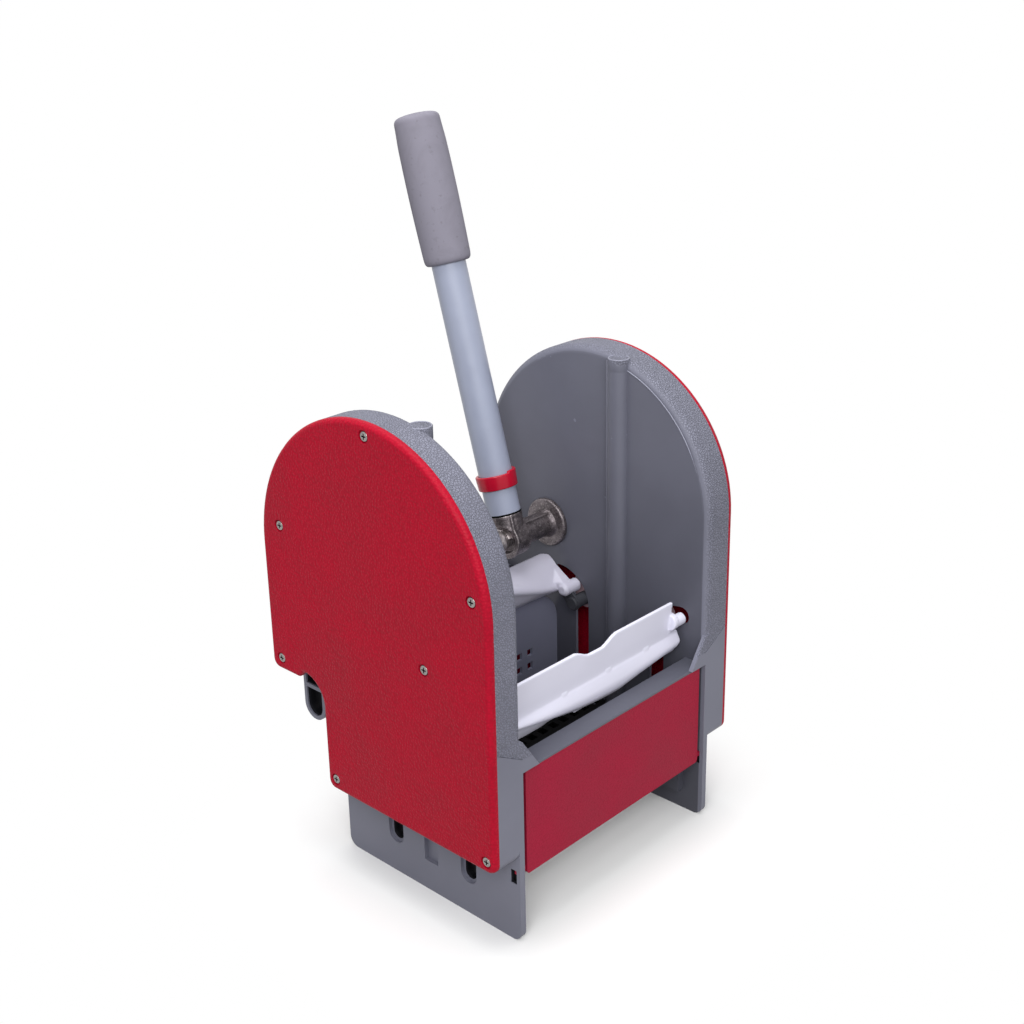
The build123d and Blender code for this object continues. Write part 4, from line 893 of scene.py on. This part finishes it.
def back_half(down):
    """Half the back jaw's length, with a rounded top corner and a flange that narrows to its ends."""
    return JAW_HALF - 7 * (1 - ease(down / 0.14)) ** 2 - 8 * ease((down - 0.62) / 0.3)


def back_jaw():
    """The back press jaw, with its cheeks and knobs."""
    pieces = [jaw_sheet(on_back_jaw, back_outline, back_half)]
    for side in (-1, 1):
        cheek = stub(on_back_jaw, side, 95, 104.5, BACK_CHEEK, 5.0)
        shoulder = stub(on_back_jaw, side, 99, 105, BACK_SHOULDER, 4.0)
        web = stub(on_back_jaw, side, 91, 94, BACK_WEB, 1.6)
        pieces.append(hull_of([cheek, shoulder, web]))
        pieces.append(stub(on_back_jaw, side, 94.5, WALL_GAP, BACK_KNOB, 6.0))
        pieces.append(stub(on_back_jaw, side, 94.6, 92, BACK_KNOB, 6.0, 3.8))
    piece = joined(pieces, "back_jaw_shell")
    moulded(piece, JAW_VOXEL, 3)
    dress(piece, WHITE_BACK_SHADED, "back_jaw", "white_plastic", "back_jaw")


def back_jaw_links():
    """Dark grey links that hang the back jaw on its pins, painted the dark of the shade they lie in."""
    pieces = []
    for side in (-1, 1):
        pin = stub(on_back_jaw, side, 99, 102, PIN, 6.7)
        knuckle = stub(on_back_jaw, side, 99, 102, BACK_KNUCKLE, 5)
        pieces.append(hull_of([pin, knuckle]))
    piece = joined(pieces, "back_jaw_links")
    rounded(piece, 0.8, 3)
    smooth_below(piece, 40)
    dress(piece, LINK_SHADE_GREY, "back_jaw", "grey_plastic")


# Small mouldings on the side frames
RIB_Y = -30.0
RIB_RADIUS = 9.34
RIB_TOP = 395.6
RIB_FOOT = 76.0
RIB_CAP = 10
RIB_EDGE_RADIUS = 1.0
BEAD_ARC = SIDE_RADIUS / MM - 7
BEAD_RADIUS = 0.55
BEAD_FOOT = 40.0
BEAD_FADE = 25.0
BEAD_THINNEST = 0.15
CAP_BEAD_INSET = 0.9
SNAP_X = 113.6
SNAP_Y = -118.5
SNAP_Z = 57.0
SNAP_SIZE = (2.4, 5.9, 11.9)


def rib_caps():
    """The round tops of the ribs, which stand out of the rims' rounded edge, and the ribs' rear edges."""
    pieces = []
    for side in (-1, 1):
        x = side * INNER_HALF / MM
        pieces.append(rod((x, RIB_Y, RIB_TOP - RIB_CAP), (x, RIB_Y, RIB_TOP), RIB_RADIUS))
        edge = (x - side * 0.69 * RIB_RADIUS, RIB_Y + 0.72 * RIB_RADIUS)
        pieces.append(rod((*edge, RIB_FOOT), (*edge, RIB_TOP - 2), RIB_EDGE_RADIUS, sides=24))
    piece = joined(pieces, "rib_caps")
    rounded(piece, 0.3, 2)
    smooth_below(piece, 40)
    dress(piece, GREY, "frame", "grey_plastic")


def bead_ring(middle, radius, segments, turn=(0, 0, 0)):
    """A whole ring of bead about a middle given in metres."""
    alone()
    bpy.ops.mesh.primitive_torus_add(
        major_radius=radius * MM, minor_radius=BEAD_RADIUS * MM, major_segments=segments,
        minor_segments=12, location=middle, rotation=turn)
    return settle(bpy.context.object)


def rim_bead(side):
    """The front arc of one rim's bead, which thins out to its foot."""
    middle = Vector((side * INNER_HALF, 0, ARCH_Z))
    bead = bead_ring(middle, BEAD_ARC, 240, (0, math.pi / 2, 0))
    foot = middle + Vector((0, 0, BEAD_FOOT * MM))
    bpy.ops.object.mode_set(mode="EDIT")
    for place, kept_side in (((0, RIB_Y * MM, 0), (0, -1, 0)), (foot, (0, 0, 1))):
        bpy.ops.mesh.select_all(action="SELECT")
        bpy.ops.mesh.bisect(plane_co=place, plane_no=kept_side, use_fill=True, clear_inner=True)
    bpy.ops.object.mode_set(mode="OBJECT")
    for vertex in bead.data.vertices:
        from_middle = vertex.co - middle
        spoke = Vector((0, from_middle.y, from_middle.z)).normalized() * BEAD_ARC * MM
        share = ease((spoke.z / MM - BEAD_FOOT) / BEAD_FADE)
        thick = BEAD_THINNEST + (1 - BEAD_THINNEST) * share
        vertex.co = middle + spoke + (from_middle - spoke) * thick
    return bead


def rim_beads():
    """Fine moulded beads: on the front of each rim's rounded edge and round the top of each rib, pale grey
    for a painted highlight.
    """
    pieces = []
    for side in (-1, 1):
        pieces.append(rim_bead(side))
        cap_middle = Vector((side * INNER_HALF / MM, RIB_Y, RIB_TOP)) * MM
        pieces.append(bead_ring(cap_middle, RIB_RADIUS - CAP_BEAD_INSET, 96))
    piece = joined(pieces, "rim_beads")
    smooth_below(piece, 40)
    dress(piece, GREY_HIGHLIGHT, "frame", "grey_plastic")


def snap_hole_shades():
    """A black block behind each snap tab, which fills its hole with painted shade."""
    pieces = []
    for side in (-1, 1):
        pieces.append(block((side * SNAP_X, SNAP_Y, SNAP_Z), SNAP_SIZE))
    piece = joined(pieces, "snap_hole_shades")
    rounded(piece, 0.4, 2)
    dress(piece, SHADE_BLACK, "frame", "black_plastic")


# Drain floor
CELL_PITCH = 13.7
CELL_DEPTH = 8.0
CELL_WALL = 1.6
CELL_MARGIN = 4
CELL_SINK = 0.2


def drain_shade_cells():
    """The crate of thin black walls under the drain floor, one cell to a hole, which paints the shade seen
    through the holes.
    """
    low, high = (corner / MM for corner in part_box("drain_floor"))
    columns = int((high.x - low.x - CELL_MARGIN) / CELL_PITCH)
    rows = int((high.y - low.y - CELL_MARGIN) / CELL_PITCH)
    alone()
    bpy.ops.mesh.primitive_grid_add(
        x_subdivisions=columns, y_subdivisions=rows, size=1,
        location=((low.x + high.x) / 2 * MM, (low.y + high.y) / 2 * MM, (low.z + CELL_SINK) * MM))
    piece = bpy.context.object
    piece.scale = (columns * CELL_PITCH * MM, rows * CELL_PITCH * MM, 1)
    piece = joined([settle(piece)], "drain_shade_cells")
    bpy.ops.object.mode_set(mode="EDIT")
    bpy.ops.mesh.select_all(action="SELECT")
    bpy.ops.mesh.delete(type="ONLY_FACE")
    bpy.ops.mesh.select_all(action="SELECT")
    bpy.ops.mesh.extrude_edges_move()
    bpy.ops.transform.translate(value=(0, 0, -CELL_DEPTH * MM))
    bpy.ops.object.mode_set(mode="OBJECT")
    finish_with(piece, "SOLIDIFY", solidify_mode="NON_MANIFOLD", thickness=CELL_WALL * MM, offset=0)
    dress(piece, SHADE_BLACK, "frame", "black_plastic")


lever_casting()
tube_gap_shade()
lever_collar()
lever_grip()
front_jaw()
back_jaw()
back_jaw_links()
rib_caps()
rim_beads()
snap_hole_shades()
drain_shade_cells()


# Camera at the photograph's angle
IMAGE_PX = 1024
SENSOR_MM = 36


def photo_camera(azimuth, elevation, roll, distance, target, focal_px, centre_px):
    """A camera fitted to the photograph, whose frame is IMAGE_PX square."""
    az, el = math.radians(azimuth), math.radians(elevation)
    right = Vector((math.cos(az), math.sin(az), 0))
    back = Vector((math.sin(az) * math.cos(el), -math.cos(az) * math.cos(el), math.sin(el)))
    up = back.cross(right)
    turn = Matrix.Rotation(math.radians(roll), 3, "Z")
    axes = Matrix((right, up, back)).transposed() @ turn
    data = bpy.data.cameras.new("photo_camera")
    data.sensor_width = SENSOR_MM
    data.lens = focal_px / IMAGE_PX * SENSOR_MM
    data.shift_x = (IMAGE_PX / 2 - centre_px[0]) / IMAGE_PX
    data.shift_y = (centre_px[1] - IMAGE_PX / 2) / IMAGE_PX
    data.clip_start = 50 * MM
    camera = bpy.data.objects.new("photo_camera", data)
    bpy.context.scene.collection.objects.link(camera)
    camera.matrix_world = Matrix.Translation(Vector(target) + back * distance) @ axes.to_4x4()
    bpy.context.scene.camera = camera


photo_camera(azimuth=-46.418, elevation=20.293, roll=-1.188, distance=1.18747,
             target=(0.007543, -0.00793, 0.324151), focal_px=1489.73, centre_px=(513.49, 467.70))


# Floor, background and lamps
FLOOR_SIZE = 12
FEET_MIDDLE = (0, -0.03, 0)
FEET_HALF = (0.115, 0.095, 0)
FLOOR_FADE = 0.16


def seen_rays(tree):
    """1 for what the camera, a reflection or glass sees, and 0 for light on its way elsewhere."""
    ray = put(tree, "LightPath")
    seen = put(tree, "Math", {0: ray.outputs["Is Camera Ray"], 1: ray.outputs["Is Glossy Ray"]},
               operation="MAXIMUM").outputs[0]
    return put(tree, "Math", {0: seen, 1: ray.outputs["Is Transmission Ray"]},
               operation="MAXIMUM").outputs[0]


def pale_floor():
    """A pale floor that fades to the white background a little way from the object."""
    bpy.ops.mesh.primitive_plane_add(size=FLOOR_SIZE)
    floor = bpy.context.object
    floor.name = "floor"
    material, tree, place = blank("pale_floor")
    # distance outside the block of floor that the feet stand on
    near = put(tree, "VectorMath", {0: place, 1: FEET_MIDDLE}, operation="SUBTRACT").outputs[0]
    near = put(tree, "VectorMath", {0: near}, operation="ABSOLUTE").outputs[0]
    near = put(tree, "VectorMath", {0: near, 1: FEET_HALF}, operation="SUBTRACT").outputs[0]
    near = put(tree, "VectorMath", {0: near, 1: (0, 0, 0)}, operation="MAXIMUM").outputs[0]
    away = put(tree, "VectorMath", {0: near}, operation="LENGTH").outputs["Value"]
    fade = put(tree, "MapRange", {"Value": away, "From Min": 0.0, "From Max": FLOOR_FADE},
               interpolation_type="SMOOTHERSTEP").outputs["Result"]
    seen = seen_rays(tree)
    fade = put(tree, "Math", {0: fade, 1: seen}, operation="MULTIPLY").outputs[0]
    tone = put(tree, "MapRange", {"Value": seen, "To Min": 0.3, "To Max": 0.92}).outputs["Result"]
    tone = put(tree, "CombineColor", {0: tone, 1: tone, 2: tone}).outputs[0]
    matt = put(tree, "BsdfDiffuse", {"Color": tone})
    white = put(tree, "Emission", {"Color": (1, 1, 1, 1), "Strength": 1.0})
    mix = put(tree, "MixShader", {0: fade, 1: matt.outputs[0], 2: white.outputs[0]})
    put(tree, "OutputMaterial", {"Surface": mix.outputs[0]})
    floor.data.materials.append(material)


def white_room():
    """Soft grey light from all round, seen as white by the camera and in reflections."""
    world = bpy.data.worlds.new("room")
    bpy.context.scene.world = world
    world.use_nodes = True
    tree = world.node_tree
    tree.nodes.clear()
    strength = put(tree, "MapRange", {"Value": seen_rays(tree), "To Min": 0.46,
                                      "To Max": 1.0}).outputs["Result"]
    room = put(tree, "Background", {"Color": (1, 1, 1, 1), "Strength": strength})
    put(tree, "OutputWorld", {"Surface": room.outputs[0]})


def soft_lamp(name, place, aim, size, watts):
    """A square studio softbox."""
    data = bpy.data.lights.new(name, "AREA")
    data.size = size
    data.energy = watts
    lamp = bpy.data.objects.new(name, data)
    bpy.context.scene.collection.objects.link(lamp)
    lamp.location = place
    lamp.rotation_euler = (Vector(aim) - Vector(place)).to_track_quat("-Z", "Y").to_euler()


pale_floor()
white_room()
soft_lamp("key_lamp", place=(-1.4, -1.1, 1.4), aim=(0, 0, 0.25), size=1.0, watts=23)
soft_lamp("fill_lamp", place=(-0.7, -1.6, 1.3), aim=(0, 0, 0.2), size=1.0, watts=10.5)
soft_lamp("top_lamp", place=(-0.1, 0.1, 2.0), aim=(0, 0, 0.2), size=1.2, watts=22)
bpy.context.scene.view_settings.view_transform = "Standard"
